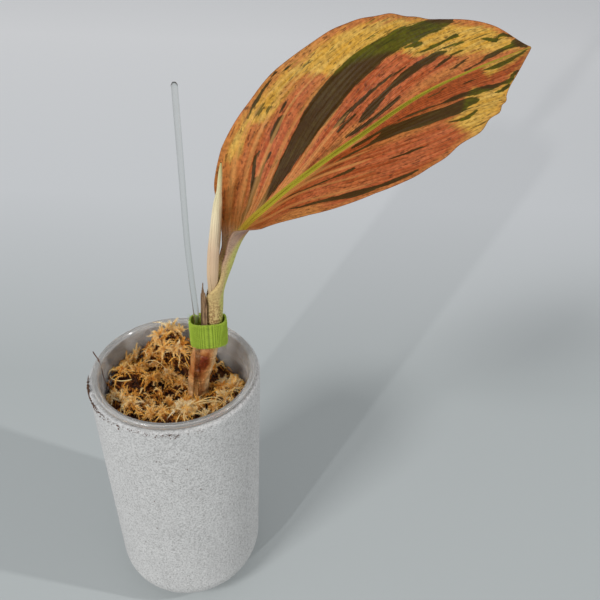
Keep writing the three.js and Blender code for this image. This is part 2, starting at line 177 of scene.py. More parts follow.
# Places and directions at the given lengths along a sampled route
def alongRoute(route, station):
    length = np.r_[0, np.cumsum(np.linalg.norm(np.diff(route, axis=0), axis=1))]
    at = lambda s: np.stack([np.interp(s, length, route[:, k]) for k in range(3)], -1)
    direction = at(station + 0.05) - at(station - 0.05)
    return at(station), direction / np.linalg.norm(direction, axis=-1, keepdims=True), length[-1]


# Smooth random field from -1 to 1: a hashed lattice of the given cell size, blended between its corners
def noise(points, cell, seed=0):
    q = np.asarray(points, float) / cell
    base = np.floor(q).astype(np.int64)
    f = q - base
    f = f * f * (3 - 2 * f)
    total = np.zeros(q.shape[:-1])
    for dx in (0, 1):
        for dy in (0, 1):
            for dz in (0, 1):
                h = (base[..., 0] + dx) * 73856093 ^ (base[..., 1] + dy) * 19349663
                h = h ^ (base[..., 2] + dz) * 83492791 ^ seed * 2654435761
                h = ((h & 0xFFFFFF) * 1103515245 + 12345) & 0xFFFFFF
                h = ((h >> 7) ^ h) * 1597334677 & 0xFFFFFF
                wx = f[..., 0] if dx else 1 - f[..., 0]
                wy = f[..., 1] if dy else 1 - f[..., 1]
                wz = f[..., 2] if dz else 1 - f[..., 2]
                total += wx * wy * wz * (h / 8388607.5 - 1)
    return total


# Sum of noises, each given by its cell size, its height and its seed
def noises(points, layers):
    return sum(height * noise(points, cell, seed) for cell, height, seed in layers)


# Triangles of a grid of rows and columns, two to a cell, closed on itself where asked
def gridTriangles(rows, columns, wrapRows=False, wrapColumns=False, first=0):
    i = np.arange(rows if wrapRows else rows - 1)[:, None]
    j = np.arange(columns if wrapColumns else columns - 1)[None]
    nextI, nextJ = (i + 1) % rows, (j + 1) % columns
    a, b = i * columns + j, i * columns + nextJ
    c, d = nextI * columns + nextJ, nextI * columns + j
    return np.concatenate([np.stack(t, -1).reshape(-1, 3) for t in ((a, b, c), (a, c, d))]) + first


# Closed tube from rings of points: grid of rings, with a fan to the middle of each end ring
def tubeBody(rings):
    m, k = rings.shape[:2]
    points = np.vstack([rings.reshape(-1, 3), rings[0].mean(0), rings[-1].mean(0)])
    j = np.arange(k)
    start = np.stack([np.full(k, m * k), (j + 1) % k, j], -1)
    end = np.stack([np.full(k, m * k + 1), (m - 1) * k + j, (m - 1) * k + (j + 1) % k], -1)
    return points, np.vstack([gridTriangles(m, k, wrapColumns=True), start, end])


# Closed sheet from an upper and a lower grid of the same size, joined along the four edges
def sheetBody(upper, lower):
    m, k = upper.shape[:2]
    points = np.vstack([upper.reshape(-1, 3), lower.reshape(-1, 3)])
    top = gridTriangles(m, k)
    under = top[:, ::-1] + m * k
    i, j = np.arange(m), np.arange(k)
    border = np.concatenate([j, i[1:] * k + k - 1, (m - 1) * k + j[-2::-1], i[-2:0:-1] * k])
    after = np.roll(border, -1)
    low, lowAfter = border + m * k, after + m * k
    edge = np.vstack([np.stack([after, border, low], -1), np.stack([after, low, lowAfter], -1)])
    return points, np.vstack([top, under, edge])


# Several bodies as one
def joined(bodies):
    first = np.cumsum([0] + [len(points) for points, _ in bodies])
    points = np.vstack([points for points, _ in bodies])
    return points, np.vstack([faces + n for (_, faces), n in zip(bodies, first)])


# Mesh object from points in mm and triangles, faces turned outwards, with one value per point for each field
def makePiece(name, points, faces, material, node=None, fields=None, flat=False):
    a, b, c = (points[faces[:, k]] for k in range(3))
    if np.einsum("ij,ij->i", a, np.cross(b, c)).sum() < 0:
        faces = faces[:, ::-1]
    mesh = bpy.data.meshes.new(name)
    mesh.vertices.add(len(points))
    mesh.vertices.foreach_set("co", (points * mm).astype(np.float32).ravel())
    mesh.loops.add(faces.size)
    mesh.loops.foreach_set("vertex_index", np.ascontiguousarray(faces, np.int32).ravel())
    mesh.polygons.add(len(faces))
    mesh.polygons.foreach_set("loop_start", np.arange(0, faces.size, 3, dtype=np.int32))
    mesh.polygons.foreach_set("use_smooth", np.full(len(faces), not flat))
    for field, values in (fields or {}).items():
        attribute = mesh.attributes.new(field, "FLOAT", "POINT")
        attribute.data.foreach_set("value", np.asarray(values, np.float32).ravel())
    mesh.update(calc_edges=True)
    mesh.materials.append(material)
    piece = bpy.data.objects.new(name, mesh)
    bpy.context.scene.collection.objects.link(piece)
    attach(piece, "root")
    if node:
        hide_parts(node)
    print(f"{name}: {len(faces)} triangles")


# Camera, floor and lights: the view looks down along +Y from in front, a little rolled
view = {
    "place": (59.0, -241.4, 365.0),
    "right": (0.99937, 0.02088, 0.02862),
    "up": (-0.03542, 0.58905, 0.80732),
    "back": (0, -0.80783, 0.58942),
    "lens": 40.36,
    "sensor": 36,
}
studio = {
    # Colours from near to far, lighter far back as painted light, and how far back they start and end, in
    # metres
    "floorColoursWithPaintedLight": ((0.0, "b7bcbc"), (0.32, "dbdddf"), (1.0, "f6f6f7")),
    "floorTurns": (0.15, 1.1),
    "floorSize": 9000,
    "air": "eef1f4",
    "airStrength": 0.45,
}
# Lamps: place and size in mm, what they point at, and power. An even lamp keeps its strength over the table.
lamps = {
    "key softbox": {
        "place": (-1659, -1932, 2537), "target": (20, 0, 150), "power": 46, "size": 720, "even": False,
    },
    "front lamp": {
        "place": (-349, -693, 303), "target": (20, 0, 150), "power": 2.4, "size": 18, "even": True,
    },
    "side lamp": {
        "place": (610, -152, 508), "target": (0, 0, 100), "power": 2.33, "size": 20, "even": True,
    },
}

camera = bpy.data.objects.new("camera", bpy.data.cameras.new("camera"))
camera.data.sensor_width = view["sensor"]
camera.data.lens = view["lens"]
camera.data.clip_end = 50
rows = [[view["right"][k], view["up"][k], view["back"][k], view["place"][k] * mm] for k in range(3)]
camera.matrix_world = Matrix(rows + [[0, 0, 0, 1]])
bpy.context.scene.collection.objects.link(camera)
bpy.context.scene.camera = camera
bpy.context.scene.view_settings.view_transform = "Standard"


# Sheet of background paper: matt, painted a little lighter where it lies far back, as painted light
def makeFloor():
    material, tree, surface, known = newMaterial("background paper", Roughness=0.95)
    parts = addNode(tree, "ShaderNodeSeparateXYZ", {"Vector": known["place"]})
    known["back"] = parts.outputs["Y"]
    wire(tree, surface, known, [
        ("far", "share", "back", *studio["floorTurns"], 1.0),
        ("Base Color", "ramp", "far", studio["floorColoursWithPaintedLight"]),
    ])
    half = studio["floorSize"] / 2 * mm
    mesh = bpy.data.meshes.new("floor")
    corners = [(-half, -half, 0), (half, -half, 0), (half, half, 0), (-half, half, 0)]
    mesh.from_pydata(corners, [], [(0, 1, 2, 3)])
    mesh.materials.append(material)
    floor = bpy.data.objects.new("floor", mesh)
    bpy.context.scene.collection.objects.link(floor)


# Square lamp: an even one has its falloff with distance taken out
def addLamp(name, lamp):
    data = bpy.data.lights.new(name, "AREA")
    data.energy = lamp["power"]
    data.size = lamp["size"] * mm
    if lamp["even"]:
        data.use_nodes = True
        tree = data.node_tree
        tree.nodes.clear()
        even = addNode(tree, "ShaderNodeLightFalloff", {"Strength": 1.0}, output="Constant")
        glow = addNode(tree, "ShaderNodeEmission", {"Strength": even}, output="Emission")
        addNode(tree, "ShaderNodeOutputLight", {"Surface": glow})
    light = bpy.data.objects.new(name, data)
    away = np.array(lamp["place"], float) - np.array(lamp["target"], float)
    away /= np.linalg.norm(away)
    side = np.cross((0, 0, 1), away)
    side /= np.linalg.norm(side)
    up = np.cross(away, side)
    rows = [[side[k], up[k], away[k], lamp["place"][k] * mm] for k in range(3)]
    light.matrix_world = Matrix(rows + [[0, 0, 0, 1]])
    bpy.context.scene.collection.objects.link(light)


def makeAir():
    world = bpy.data.worlds.new("air")
    world.use_nodes = True
    world.node_tree.nodes.clear()
    light = addNode(world.node_tree, "ShaderNodeBackground", {
        "Color": toLinear(studio["air"]), "Strength": studio["airStrength"],
    })
    addNode(world.node_tree, "ShaderNodeOutputWorld", {"Surface": light.outputs["Background"]})
    bpy.context.scene.world = world


makeFloor()
makeAir()
for name, lamp in lamps.items():
    addLamp(name, lamp)
print("camera, floor and lights are set")


# Leaf: one sheet from the sheath inside the tie to the tip. Stations are mm along its middle line.
leafShape = {
    "route": [
        (21.9, 2.4, 164.5), (23.3, 2.4, 180), (24.3, 2.8, 193.5), (27.3, 2.6, 206),
        (34.2, -1.6, 224.3), (46.4, -1.2, 237.8), (61.9, -0.6, 252), (79.2, -1.9, 267),
        (99.8, -0.2, 282.5), (121.9, 9.4, 290.6), (138.9, 9.7, 298.2),
    ],
    "bladeStart": 63,
    "end": 194.4,
    "facing": [
        (0, (-1, 0, 0)), (20, (-1, 0, 0)), (32, (-0.9, -0.42, 0)), (46, (-0.93, -0.36, 0)),
        (63, (-0.8, -0.59, 0.15)), (95, (-0.66, -0.55, 0.51)), (127, (-0.53, -0.68, 0.51)),
        (160, (-0.33, -0.64, 0.69)), (194.4, (-0.33, -0.31, 0.89)),
    ],
    "halfWidth": [
        (0, 10), (21, 10), (27, 7.5), (34, 4.9), (48, 5.2), (56, 7.1), (63, 11.5), (71, 23),
        (81, 29.5), (95, 34.8), (114, 37.8), (134, 37), (153, 31.2), (165, 25.6), (176, 21),
        (185, 14.5), (194.4, 0.4),
    ],
    "fold": [(0, 0), (27, 0), (34, 8), (46, 80), (63, 52), (78, 35), (108, 38), (153, 23), (194.4, 10)],
    "curl": [(0, 172), (21, 172), (27, 132), (34, 82), (47, 4), (63, 41), (101, 0), (194.4, 0)],
    "thickness": [(0, 0.8), (50, 0.7), (75, 0.4), (194.4, 0.35)],
    "rib": [(0, 0), (24, 0.2), (42, 1.7), (70, 1.6), (120, 0.9), (194.4, 0.1)],
    "ribSpread": 1.9,
    "foldLength": 3,
    "scallop": 0.7,
    "scallopLength": 9.5,
    "scallopFrom": 133,
    "scallopTo": 173,
    "rows": 322,
    "halfColumns": 70,
    "pleatDepth": 0.24,
    "pleatSpacing": 6.2,
    "veinDepth": 0.07,
    "veinSpacing": 2.9,
}
# A side vein leaves the midrib and ends up running beside it, a mm away. With s the station, its
# distance from the midrib is a * (1 - exp(-((s - start) / length) ** bend)),
# where start and length go down in proportion to a. One set of numbers for each half.
veinShape = {
    -1: {"start": (102.9, 1.67), "length": (68.2, 1.0), "bend": 2.0},
    1: {"start": (151.6, 2.81), "length": (70.8, 0.843), "bend": 1.63},
}
# Bands of the pattern as [station, share, share]: shares of the half width, from the midrib out
darkBands = {
    -1: [
        [(64, 0.02, 0.05), (70, 0.03, 0.075), (80, 0.075, 0.16), (90, 0.115, 0.275), (100, 0.19, 0.385),
         (110, 0.26, 0.49), (120, 0.325, 0.59), (130, 0.41, 0.65), (140, 0.47, 0.70), (150, 0.56, 0.77),
         (160, 0.655, 0.875), (168, 0.78, 0.99), (171, 0.84, 1.03), (175, 0.95, 1.03)],
        [(61, 0.16, 0.22), (70, 0.16, 0.235), (76, 0.25, 0.33), (82, 0.31, 0.385), (84, 0.35, 0.37)],
        [(75, 0.29, 0.33), (80, 0.38, 0.43), (84, 0.47, 0.53), (87, 0.53, 0.57), (89.5, 0.55, 0.57)],
        [(81, 0.31, 0.36), (85, 0.36, 0.40), (88, 0.40, 0.43), (92.5, 0.44, 0.46)],
        [(87, 0.28, 0.295), (90, 0.31, 0.328), (92.5, 0.325, 0.335)],
        [(94, 0.51, 0.54), (96, 0.52, 0.59), (100, 0.56, 0.63), (103, 0.60, 0.65), (105, 0.62, 0.64)],
        [(104, 0.665, 0.68), (107, 0.68, 0.70), (109, 0.695, 0.71)],
        [(117.5, 0.205, 0.22), (119, 0.20, 0.24), (126, 0.24, 0.28), (135, 0.275, 0.305), (145, 0.32, 0.345),
         (153, 0.37, 0.385)],
        [(118, 0.155, 0.17), (121, 0.16, 0.19), (124, 0.175, 0.205), (127.5, 0.20, 0.215)],
        [(126.5, 0.10, 0.13), (130, 0.11, 0.17), (134, 0.12, 0.20), (142, 0.20, 0.25), (150, 0.24, 0.33),
         (158, 0.30, 0.395), (165, 0.38, 0.455), (168, 0.41, 0.45)],
        [(119, 0.06, 0.08), (125, 0.045, 0.085), (135, 0.05, 0.09), (140, 0.065, 0.11), (144.5, 0.10, 0.12)],
        [(157, 0.20, 0.215), (160, 0.215, 0.24), (163, 0.24, 0.285), (168.5, 0.32, 0.35)],
        [(165, 0.13, 0.15), (168, 0.145, 0.185), (174, 0.22, 0.25)],
        [(93, 0.893, 0.905), (96, 0.905, 0.945), (100, 0.92, 0.96), (104, 0.94, 0.965), (113, 0.97, 0.985)],
        [(114, 0.93, 0.94), (117, 0.935, 0.955), (120, 0.945, 0.96)],
        [(143, 0.755, 0.765), (146, 0.77, 0.79), (148, 0.79, 0.805)],
        [(153, 0.56, 0.58), (156, 0.55, 0.605), (159, 0.565, 0.64), (161, 0.60, 0.62)],
        [(157, 0.46, 0.475), (163, 0.50, 0.54), (170, 0.59, 0.64), (174, 0.64, 0.72)],
        [(167, 0.475, 0.50), (170, 0.49, 0.53), (175, 0.53, 0.56)],
        [(168, 0.345, 0.37), (171, 0.355, 0.385), (174, 0.38, 0.41)],
        [(170, 0.03, 0.06), (175, 0.05, 0.09), (178, 0.08, 0.14), (181, 0.10, 0.22), (184, 0.15, 0.28),
         (188, 0.25, 0.45), (190, 0.30, 0.80), (192, 0.25, 1.1), (193.6, 0.2, 1.1)],
        [(180, 0.56, 0.57), (182, 0.48, 0.60), (184, 0.45, 0.60), (185.5, 0.62, 0.72), (187, 0.70, 0.85),
         (188.5, 0.78, 0.92), (190, 0.9, 1.0)],
    ],
    1: [
        [(112, 0.13, 0.155), (118, 0.15, 0.185), (126, 0.185, 0.225), (130, 0.17, 0.25), (134, 0.13, 0.29),
         (138, 0.16, 0.325), (142, 0.20, 0.38), (146, 0.255, 0.44), (150, 0.315, 0.51), (156, 0.40, 0.59),
         (162, 0.50, 0.625), (163.5, 0.54, 0.60)],
        [(119.5, 0.05, 0.09), (123, 0.055, 0.115), (127, 0.07, 0.125), (135, 0.105, 0.135),
         (145, 0.165, 0.195), (154, 0.27, 0.31), (158, 0.29, 0.39), (162, 0.33, 0.45),
         (166, 0.38, 0.54), (170, 0.44, 0.62),
         (177, 0.58, 0.70), (180, 0.68, 0.80), (183, 0.78, 0.95), (185, 0.85, 1.0)],
        [(88, 0.16, 0.19), (94, 0.255, 0.295), (98, 0.33, 0.37), (102, 0.365, 0.405), (110, 0.40, 0.44),
         (118, 0.42, 0.475), (120, 0.43, 0.465)],
        [(90, 0.60, 0.62), (93, 0.66, 0.70), (96, 0.71, 0.77), (100, 0.74, 0.80), (110, 0.78, 0.845),
         (115, 0.81, 0.89), (120, 0.84, 0.94), (125, 0.885, 0.95), (135, 0.91, 0.96), (138, 0.93, 0.95)],
        [(130, 0.57, 0.585), (133, 0.59, 0.615), (141, 0.66, 0.70), (143.5, 0.715, 0.73)],
        [(151, 0.60, 0.62), (153, 0.65, 0.69), (156, 0.70, 0.755), (159.5, 0.735, 0.775)],
        [(152, 0.07, 0.09), (156, 0.08, 0.10), (160, 0.07, 0.09)],
        [(165, 0.16, 0.19), (169, 0.19, 0.22), (172, 0.21, 0.23)],
        [(176, 0.09, 0.12), (179, 0.10, 0.2), (182, 0.09, 0.27), (186, 0.10, 0.32), (193, 0.1, 0.3)],
        [(171, 0.70, 0.735), (174, 0.74, 0.80), (177, 0.79, 0.87), (180, 0.86, 0.96), (182, 0.93, 1.0)],
        [(184, 0.75, 0.8), (186, 0.8, 0.95), (187.5, 0.9, 1.0)],
    ],
}
# Faint brown streaks
faintBands = {
    -1: [
        [(96, 0.04, 0.05), (107, 0.045, 0.07), (118, 0.05, 0.08)],
        [(73, 0.64, 0.68), (76, 0.72, 0.76), (78, 0.74, 0.75)],
        [(88, 0.70, 0.72), (90, 0.71, 0.735), (92, 0.72, 0.73)],
    ],
    1: [
        [(80, 0.08, 0.12), (84, 0.11, 0.16), (90, 0.18, 0.24), (95, 0.26, 0.31)],
        [(97, 0.12, 0.16), (101, 0.14, 0.185), (105, 0.17, 0.20)],
        [(102, 0.19, 0.215), (107, 0.205, 0.25), (112, 0.225, 0.265), (116, 0.25, 0.27)],
        [(100, 0.05, 0.10), (108, 0.06, 0.11), (116, 0.07, 0.10)],
    ],
}
# Painted highlight: light lines along the pleat ridges, given as the side veins that they run along
highlightRidgeVeins = {-1: (16.2, 19.2, 25.9, 28.7, 31.6, 34.2), 1: (14.6, 23.2, 26.6, 30.8, 34.4)}
# Tissue without red in it, where the ground is ochre and the bands are green
ochreBands = {
    -1: [
        [(79, 0.80, 0.86), (84, 0.76, 0.92), (88, 0.80, 0.93), (92, 0.84, 0.93), (97, 0.74, 0.93),
         (103, 0.71, 0.93), (110, 0.77, 0.94), (118, 0.80, 0.94), (123, 0.75, 0.94), (128, 0.64, 0.94),
         (136, 0.62, 0.95), (150, 0.55, 0.94), (157, 0.42, 0.95), (164, 0.42, 0.97), (170, 0.33, 0.93),
         (180, 0.25, 0.9), (190, 0.2, 0.8)],
    ],
    1: [
        [(152, 0.62, 1.1), (156, 0.57, 1.1), (160, 0.47, 1.1), (166, 0.36, 1.1), (172, 0.60, 1.1),
         (180, 0.72, 1.1), (186, 0.8, 1.1)],
        [(176, 0.0, 0.34), (184, 0.0, 0.36), (193, 0.0, 0.5)],
    ],
}


# Depth in mm inside the nearest of the bands, negative outside them
def bandField(bands, station, share, width):
    inside = np.full(share.shape, -9.0)
    for band in bands:
        low = valueAt([(s, a) for s, a, b in band], station)
        high = valueAt([(s, b) for s, a, b in band], station)
        across = np.minimum(share - low[:, None], high[:, None] - share) * width[:, None]
        ends = np.minimum(station - band[0][0], band[-1][0] - station)[:, None]
        inside = np.maximum(inside, np.minimum(across, ends))
    return inside


# Which side vein runs through each point, as its final distance a from the midrib, found by halving
def veinAt(station, distance, side):
    shape = veinShape[side]
    low = np.zeros(distance.shape)
    high = np.full(distance.shape, 60.0)
    for _ in range(26):
        a = (low + high) / 2
        length = np.maximum(shape["length"][0] - shape["length"][1] * a, 6)
        since = np.maximum(station[:, None] - shape["start"][0] + shape["start"][1] * a, 0)
        reach = a * (1 - np.exp(-(since / length) ** shape["bend"]))
        far = reach > distance
        high = np.where(far, a, high)
        low = np.where(far, low, a)
    return (low + high) / 2


# Half of the leaf: from the middle line it leaves at the fold angle and turns by the curl angle.
# Returns upper points, upper normals, and the fields that the pattern needs.
def leafHalf(station, middle, facing, across, share, side):
    shape = leafShape
    width = valueAt(shape["halfWidth"], station)
    fade = smooth(station, shape["scallopFrom"], shape["scallopFrom"] + 25)
    fade = fade * (1 - smooth(station, shape["scallopTo"] - 8, shape["scallopTo"]))
    wave = np.sin(2 * np.pi * station / shape["scallopLength"])
    width = width + shape["scallop"] * fade * wave * (1 if side > 0 else 0.4)
    fold = np.radians(valueAt(shape["fold"], station))[:, None]
    curl = np.radians(valueAt(shape["curl"], station))[:, None]
    steps = 4 * (len(share) - 1)
    fine = (np.arange(steps) + 0.5) / steps
    heading = fold * smooth(fine[None] * width[:, None], 0, shape["foldLength"]) + curl * fine
    run = np.c_[np.zeros(len(station)), np.cumsum(np.cos(heading), 1)[:, 3::4]] * width[:, None] / steps
    rise = np.c_[np.zeros(len(station)), np.cumsum(np.sin(heading), 1)[:, 3::4]] * width[:, None] / steps
    points = middle[:, None] + side * run[..., None] * across[:, None] + rise[..., None] * facing[:, None]
    distance = share[None] * width[:, None]
    angle = fold * smooth(distance, 0, shape["foldLength"]) + curl * share
    normal = np.cos(angle)[..., None] * facing[:, None] - side * np.sin(angle)[..., None] * across[:, None]
    vein = veinAt(station, distance, side)
    inBlade = smooth(station, shape["bladeStart"], shape["bladeStart"] + 25)[:, None]
    swell = np.sin(np.pi * np.clip(share, 0, 1)) * np.minimum(1, width / 12)[:, None]
    relief = shape["pleatDepth"] * np.sin(2 * np.pi * vein / shape["pleatSpacing"] + side)
    relief = relief + shape["veinDepth"] * np.cos(2 * np.pi * vein / shape["veinSpacing"])
    points = points + (relief * swell * inBlade)[..., None] * normal
    shares = np.broadcast_to(share, distance.shape)
    ridge = np.min([np.abs(vein - a) for a in highlightRidgeVeins[side]], axis=0) * distance / np.maximum(vein, 0.1)
    fields = {
        "ridgeGap": ridge + 2 * smooth(station[:, None], 118, 160),
        "along": np.broadcast_to(station[:, None], distance.shape),
        "across": side * distance,
        "margin": width[:, None] - distance,
        "vein": side * vein,
        "darkDepth": bandField(darkBands[side], station, shares, width),
        "faintDepth": bandField(faintBands[side], station, shares, width),
        "ochreDepth": bandField(ochreBands[side], station, shares, width),
    }
    return points, normal, fields


def makeLeaf():
    shape = leafShape
    station = np.linspace(0, shape["end"], shape["rows"])
    middle, along, _ = alongRoute(smoothRoute(shape["route"], 300), station)
    facing = np.stack([valueAt([(s, v[k]) for s, v in shape["facing"]], station) for k in range(3)], -1)
    facing -= along * np.sum(facing * along, -1, keepdims=True)
    facing /= np.linalg.norm(facing, axis=-1, keepdims=True)
    across = np.cross(along, facing)
    share = np.linspace(0, 1, shape["halfColumns"] + 1)
    left = leafHalf(station, middle, facing, across, share, -1)
    right = leafHalf(station, middle, facing, across, share, 1)
    whole = lambda a, b: np.concatenate([a[:, :0:-1], b], 1)
    upper, normal = whole(left[0], right[0]), whole(left[1], right[1])
    fields = {name: whole(left[2][name], right[2][name]) for name in left[2]}
    rib = valueAt(shape["rib"], station)[:, None] * np.exp(-(fields["across"] / shape["ribSpread"]) ** 2)
    thin = valueAt(shape["thickness"], station)[:, None] * (0.35 + 0.65 * smooth(fields["margin"], 0, 1.2))
    lower = upper - (thin + rib)[..., None] * normal
    points, faces = sheetBody(upper, lower)
    both = {name: np.r_[values.ravel(), values.ravel()] for name, values in fields.items()}
    both["underside"] = np.r_[np.zeros(upper[..., 0].size), np.ones(upper[..., 0].size)]
    makePiece("leafBlade", points, faces, leafMaterial(), "leaf", both)


# Living leaf with a waxy skin: satin, with streaks and flecks that run along the side veins
leafColours = {
    "salmon": "cb6c40",
    "rust": "a8481a",
    "peach": "da984c",
    "ochre": "dea63a",
    "straw": "e8bd60",
    "greyBrown": "3e2e0c",
    "slate": "574a24",
    "green": "5a5a08",
    "deepGreen": "3d3f0a",
    "fleck": "3d2210",
    "midrib": "a9a02c",
    "midribBase": "c08a30",
    "under": "8a6a62",
    "petiole": "d6bb80",
    "petiolePink": "cfaa90",
    "keel": "cccb70",
    "speckle": "7c4d2e",
    "edge": "6e3018",
    "wine": "8c3a18",
    # ridge: pale colour of the painted highlight along the pleat ridges, also a faint tint on the fine veins
    "ridge": "eeb468",
}
# Noise stretched along the side veins: grain width and length in mm, detail, and a shift of its own
leafGrains = {
    "streakGrain": (1.5, 16, 3.0, 0.0),
    "broadGrain": (7.0, 40, 1.0, 3.7),
    "fleckGrain": (0.5, 3.0, 2.0, 9.1),
    "dashGrain": (0.9, 9.0, 2.0, 14.3),
    "raggedGrain": (0.7, 5.0, 4.0, 5.3),
}


def leafMaterial():
    material, tree, surface, known = newMaterial(
        "living leaf, waxy",
        (
            "along", "across", "margin", "vein", "darkDepth", "faintDepth", "ochreDepth", "underside",
            "ridgeGap",
        ),
        {"dotGrain": (1100, 3, 0.5, 1), "skinGrain": (700, 4, 0.5, 1)},
        **{"Roughness": 0.46, "IOR": 1.42, "Specular IOR Level": 0.2},
    )
    known.update({name: toLinear(colour) for name, colour in leafColours.items()})
    for name, (width, length, detail, shift) in leafGrains.items():
        across = addNode(tree, "ShaderNodeMath", {0: known["vein"], 1: width}, 0, operation="DIVIDE")
        along = addNode(tree, "ShaderNodeMath", {0: known["along"], 1: length}, 0, operation="DIVIDE")
        place = addNode(tree, "ShaderNodeCombineXYZ", {"X": across, "Y": along, "Z": shift}, "Vector")
        known[name] = addNode(tree, "ShaderNodeTexNoise", {
            "Vector": place, "Scale": 1.0, "Detail": detail, "Roughness": 0.6,
        }, "Fac")
    known["ribWidth"] = addNode(tree, "ShaderNodeMapRange", {
        "Value": known["along"], "From Min": 66.0, "From Max": 185.0, "To Min": 1.65, "To Max": 0.18,
    }, "Result")
    wire(tree, surface, known, [
        # Edges of the bands and of the ochre, made ragged: depth in mm plus so much of a grain
        ("raggedSwing", "SUBTRACT", "raggedGrain", 0.5),
        ("dashSwing", "SUBTRACT", "dashGrain", 0.5),
        ("darkEdge", "MULTIPLY_ADD", "raggedSwing", 1.9, "darkDepth"),
        ("faintEdge", "MULTIPLY_ADD", "raggedSwing", 2.4, "faintDepth"),
        ("ochreEdge", "MULTIPLY_ADD", "dashSwing", 7.0, "ochreDepth"),
        # Fine side veins 1.2 mm apart
        ("veinTurn", "MULTIPLY", "vein", 2 * math.pi / 1.2),
        ("veinLine", "COSINE", "veinTurn"),
        # Ground: salmon and rust, redder by the midrib's right and at the base, ochre near the margin
        ("ground", "lay", "salmon", "rust", "streakGrain", 0.38, 0.66, 0.8),
        ("ground", "lay", "ground", "peach", "broadGrain", 0.45, 0.7, 0.55),
        ("rightHalf", "share", "across", 0.0, 1.5, 0.75),
        ("nearRib", "share", "across", 17.0, 5.0, 1.0),
        ("rustByRib", "MULTIPLY", "rightHalf", "nearRib"),
        ("ground", "mix", "ground", "rust", "rustByRib"),
        ("ground", "lay", "ground", "wine", "along", 80.0, 62.0, 0.45),
        ("yellow", "lay", "ochre", "straw", "streakGrain", 0.35, 0.7, 1.0),
        ("ground", "lay", "ground", "yellow", "ochreEdge", -1.6, 2.2, 1.0),
        ("ground", "lay", "ground", "peach", "margin", 3.2, 0.6, 0.4),
        ("ground", "lay", "ground", "ridge", "veinLine", 0.5, 1.0, 0.14),
        # Bands: brown over the red ground and green over the ochre, with flecks and dashes beside them
        ("brownBand", "lay", "greyBrown", "slate", "streakGrain", 0.42, 0.75, 0.8),
        ("greenTissue", "lay", "green", "deepGreen", "dashGrain", 0.35, 0.7, 1.0),
        ("band", "lay", "brownBand", "greenTissue", "ochreDepth", -1.0, 1.5, 1.0),
        ("blade", "lay", "ground", "fleck", "faintEdge", -0.5, 0.8, 0.6),
        ("blade", "lay", "blade", "fleck", "fleckGrain", 0.57, 0.66, 0.62),
        ("dashes", "share", "dashGrain", 0.62, 0.68, 0.8),
        ("inOchre", "share", "ochreDepth", -3.0, 3.0, 1.0),
        ("ochreDash", "MULTIPLY", "dashes", "inOchre"),
        ("blade", "mix", "blade", "greenTissue", "ochreDash"),
        ("blade", "lay", "blade", "band", "darkEdge", -0.2, 0.2, 0.97),
        ("blade", "lay", "blade", "fleck", "skinGrain", 0.35, 0.7, 0.4),
        # Painted highlight: a light line along each pleat ridge
        ("blade", "lay", "blade", "ridge", "ridgeGap", 0.36, 0.1, 0.36),
        # Midrib, margin and underside
        ("ribColour", "lay", "midrib", "midribBase", "along", 80.0, 62.0, 0.45),
        ("away", "ABSOLUTE", "across"),
        ("ribSide", "SUBTRACT", "ribWidth", "away"),
        ("blade", "lay", "blade", "ribColour", "ribSide", -0.4, 0.3, 1.0),
        ("blade", "lay", "blade", "edge", "margin", 0.35, 0.1, 0.5),
        ("blade", "lay", "blade", "under", "underside", 0.0, 1.0, 0.4),
        # Stalk: a green keel between cream walls, pink higher up, with brown specks low down
        ("stalk", "lay", "keel", "petiole", "away", 1.5, 3.6, 1.0),
        ("wall", "share", "away", 2.0, 5.0, 1.0),
        ("wallTop", "share", "along", 34.0, 48.0, 1.0),
        ("pinkWall", "MULTIPLY", "wall", "wallTop"),
        ("stalk", "mix", "stalk", "petiolePink", "pinkWall"),
        ("stalk", "lay", "stalk", "speckle", "dotGrain", 0.5, 0.62, 0.3),
        ("dots", "share", "dotGrain", 0.42, 0.56, 0.9),
        ("dotsLow", "share", "along", 31.0, 2.0, 1.0),
        ("dotted", "MULTIPLY", "dots", "dotsLow"),
        ("stalk", "mix", "stalk", "speckle", "dotted"),
        ("stalkEdge", "share", "margin", 0.5, 0.1, 0.75),
        ("stalkTop", "share", "along", 40.0, 46.0, 1.0),
        ("stalkLine", "MULTIPLY", "stalkEdge", "stalkTop"),
        ("stalk", "mix", "stalk", "edge", "stalkLine"),
        ("rightward", "MAXIMUM", "across", 0.0),
        ("stalkward", "MULTIPLY_ADD", "rightward", -0.6, "along"),
        ("Base Color", "lay", "blade", "stalk", "stalkward", 64.0, 55.0, 1.0),
        # Relief of the side veins and the grain of the skin
        ("rough", "MULTIPLY_ADD", "raggedGrain", 1.6, "skinGrain"),
        ("height", "MULTIPLY_ADD", "veinLine", 0.4, "rough"),
        ("Normal", "bump", "height", 0.00016, 0.9),
    ], "SMOOTHSTEP")
    return material


makeLeaf()


# Rings carried along a route, of a radius at each angle: their sides are level and square to it
def carried(route, station, radius, angle, lean=(0, 1, 0)):
    place, along, _ = alongRoute(route, station)
    side = np.cross(np.broadcast_to(lean, along.shape), along)
    side /= np.linalg.norm(side, axis=-1, keepdims=True)
    front = np.cross(along, side)
    x, y = radius * np.cos(angle), radius * np.sin(angle)
    return place[:, None] + x[..., None] * side[:, None] + y[..., None] * front[:, None]


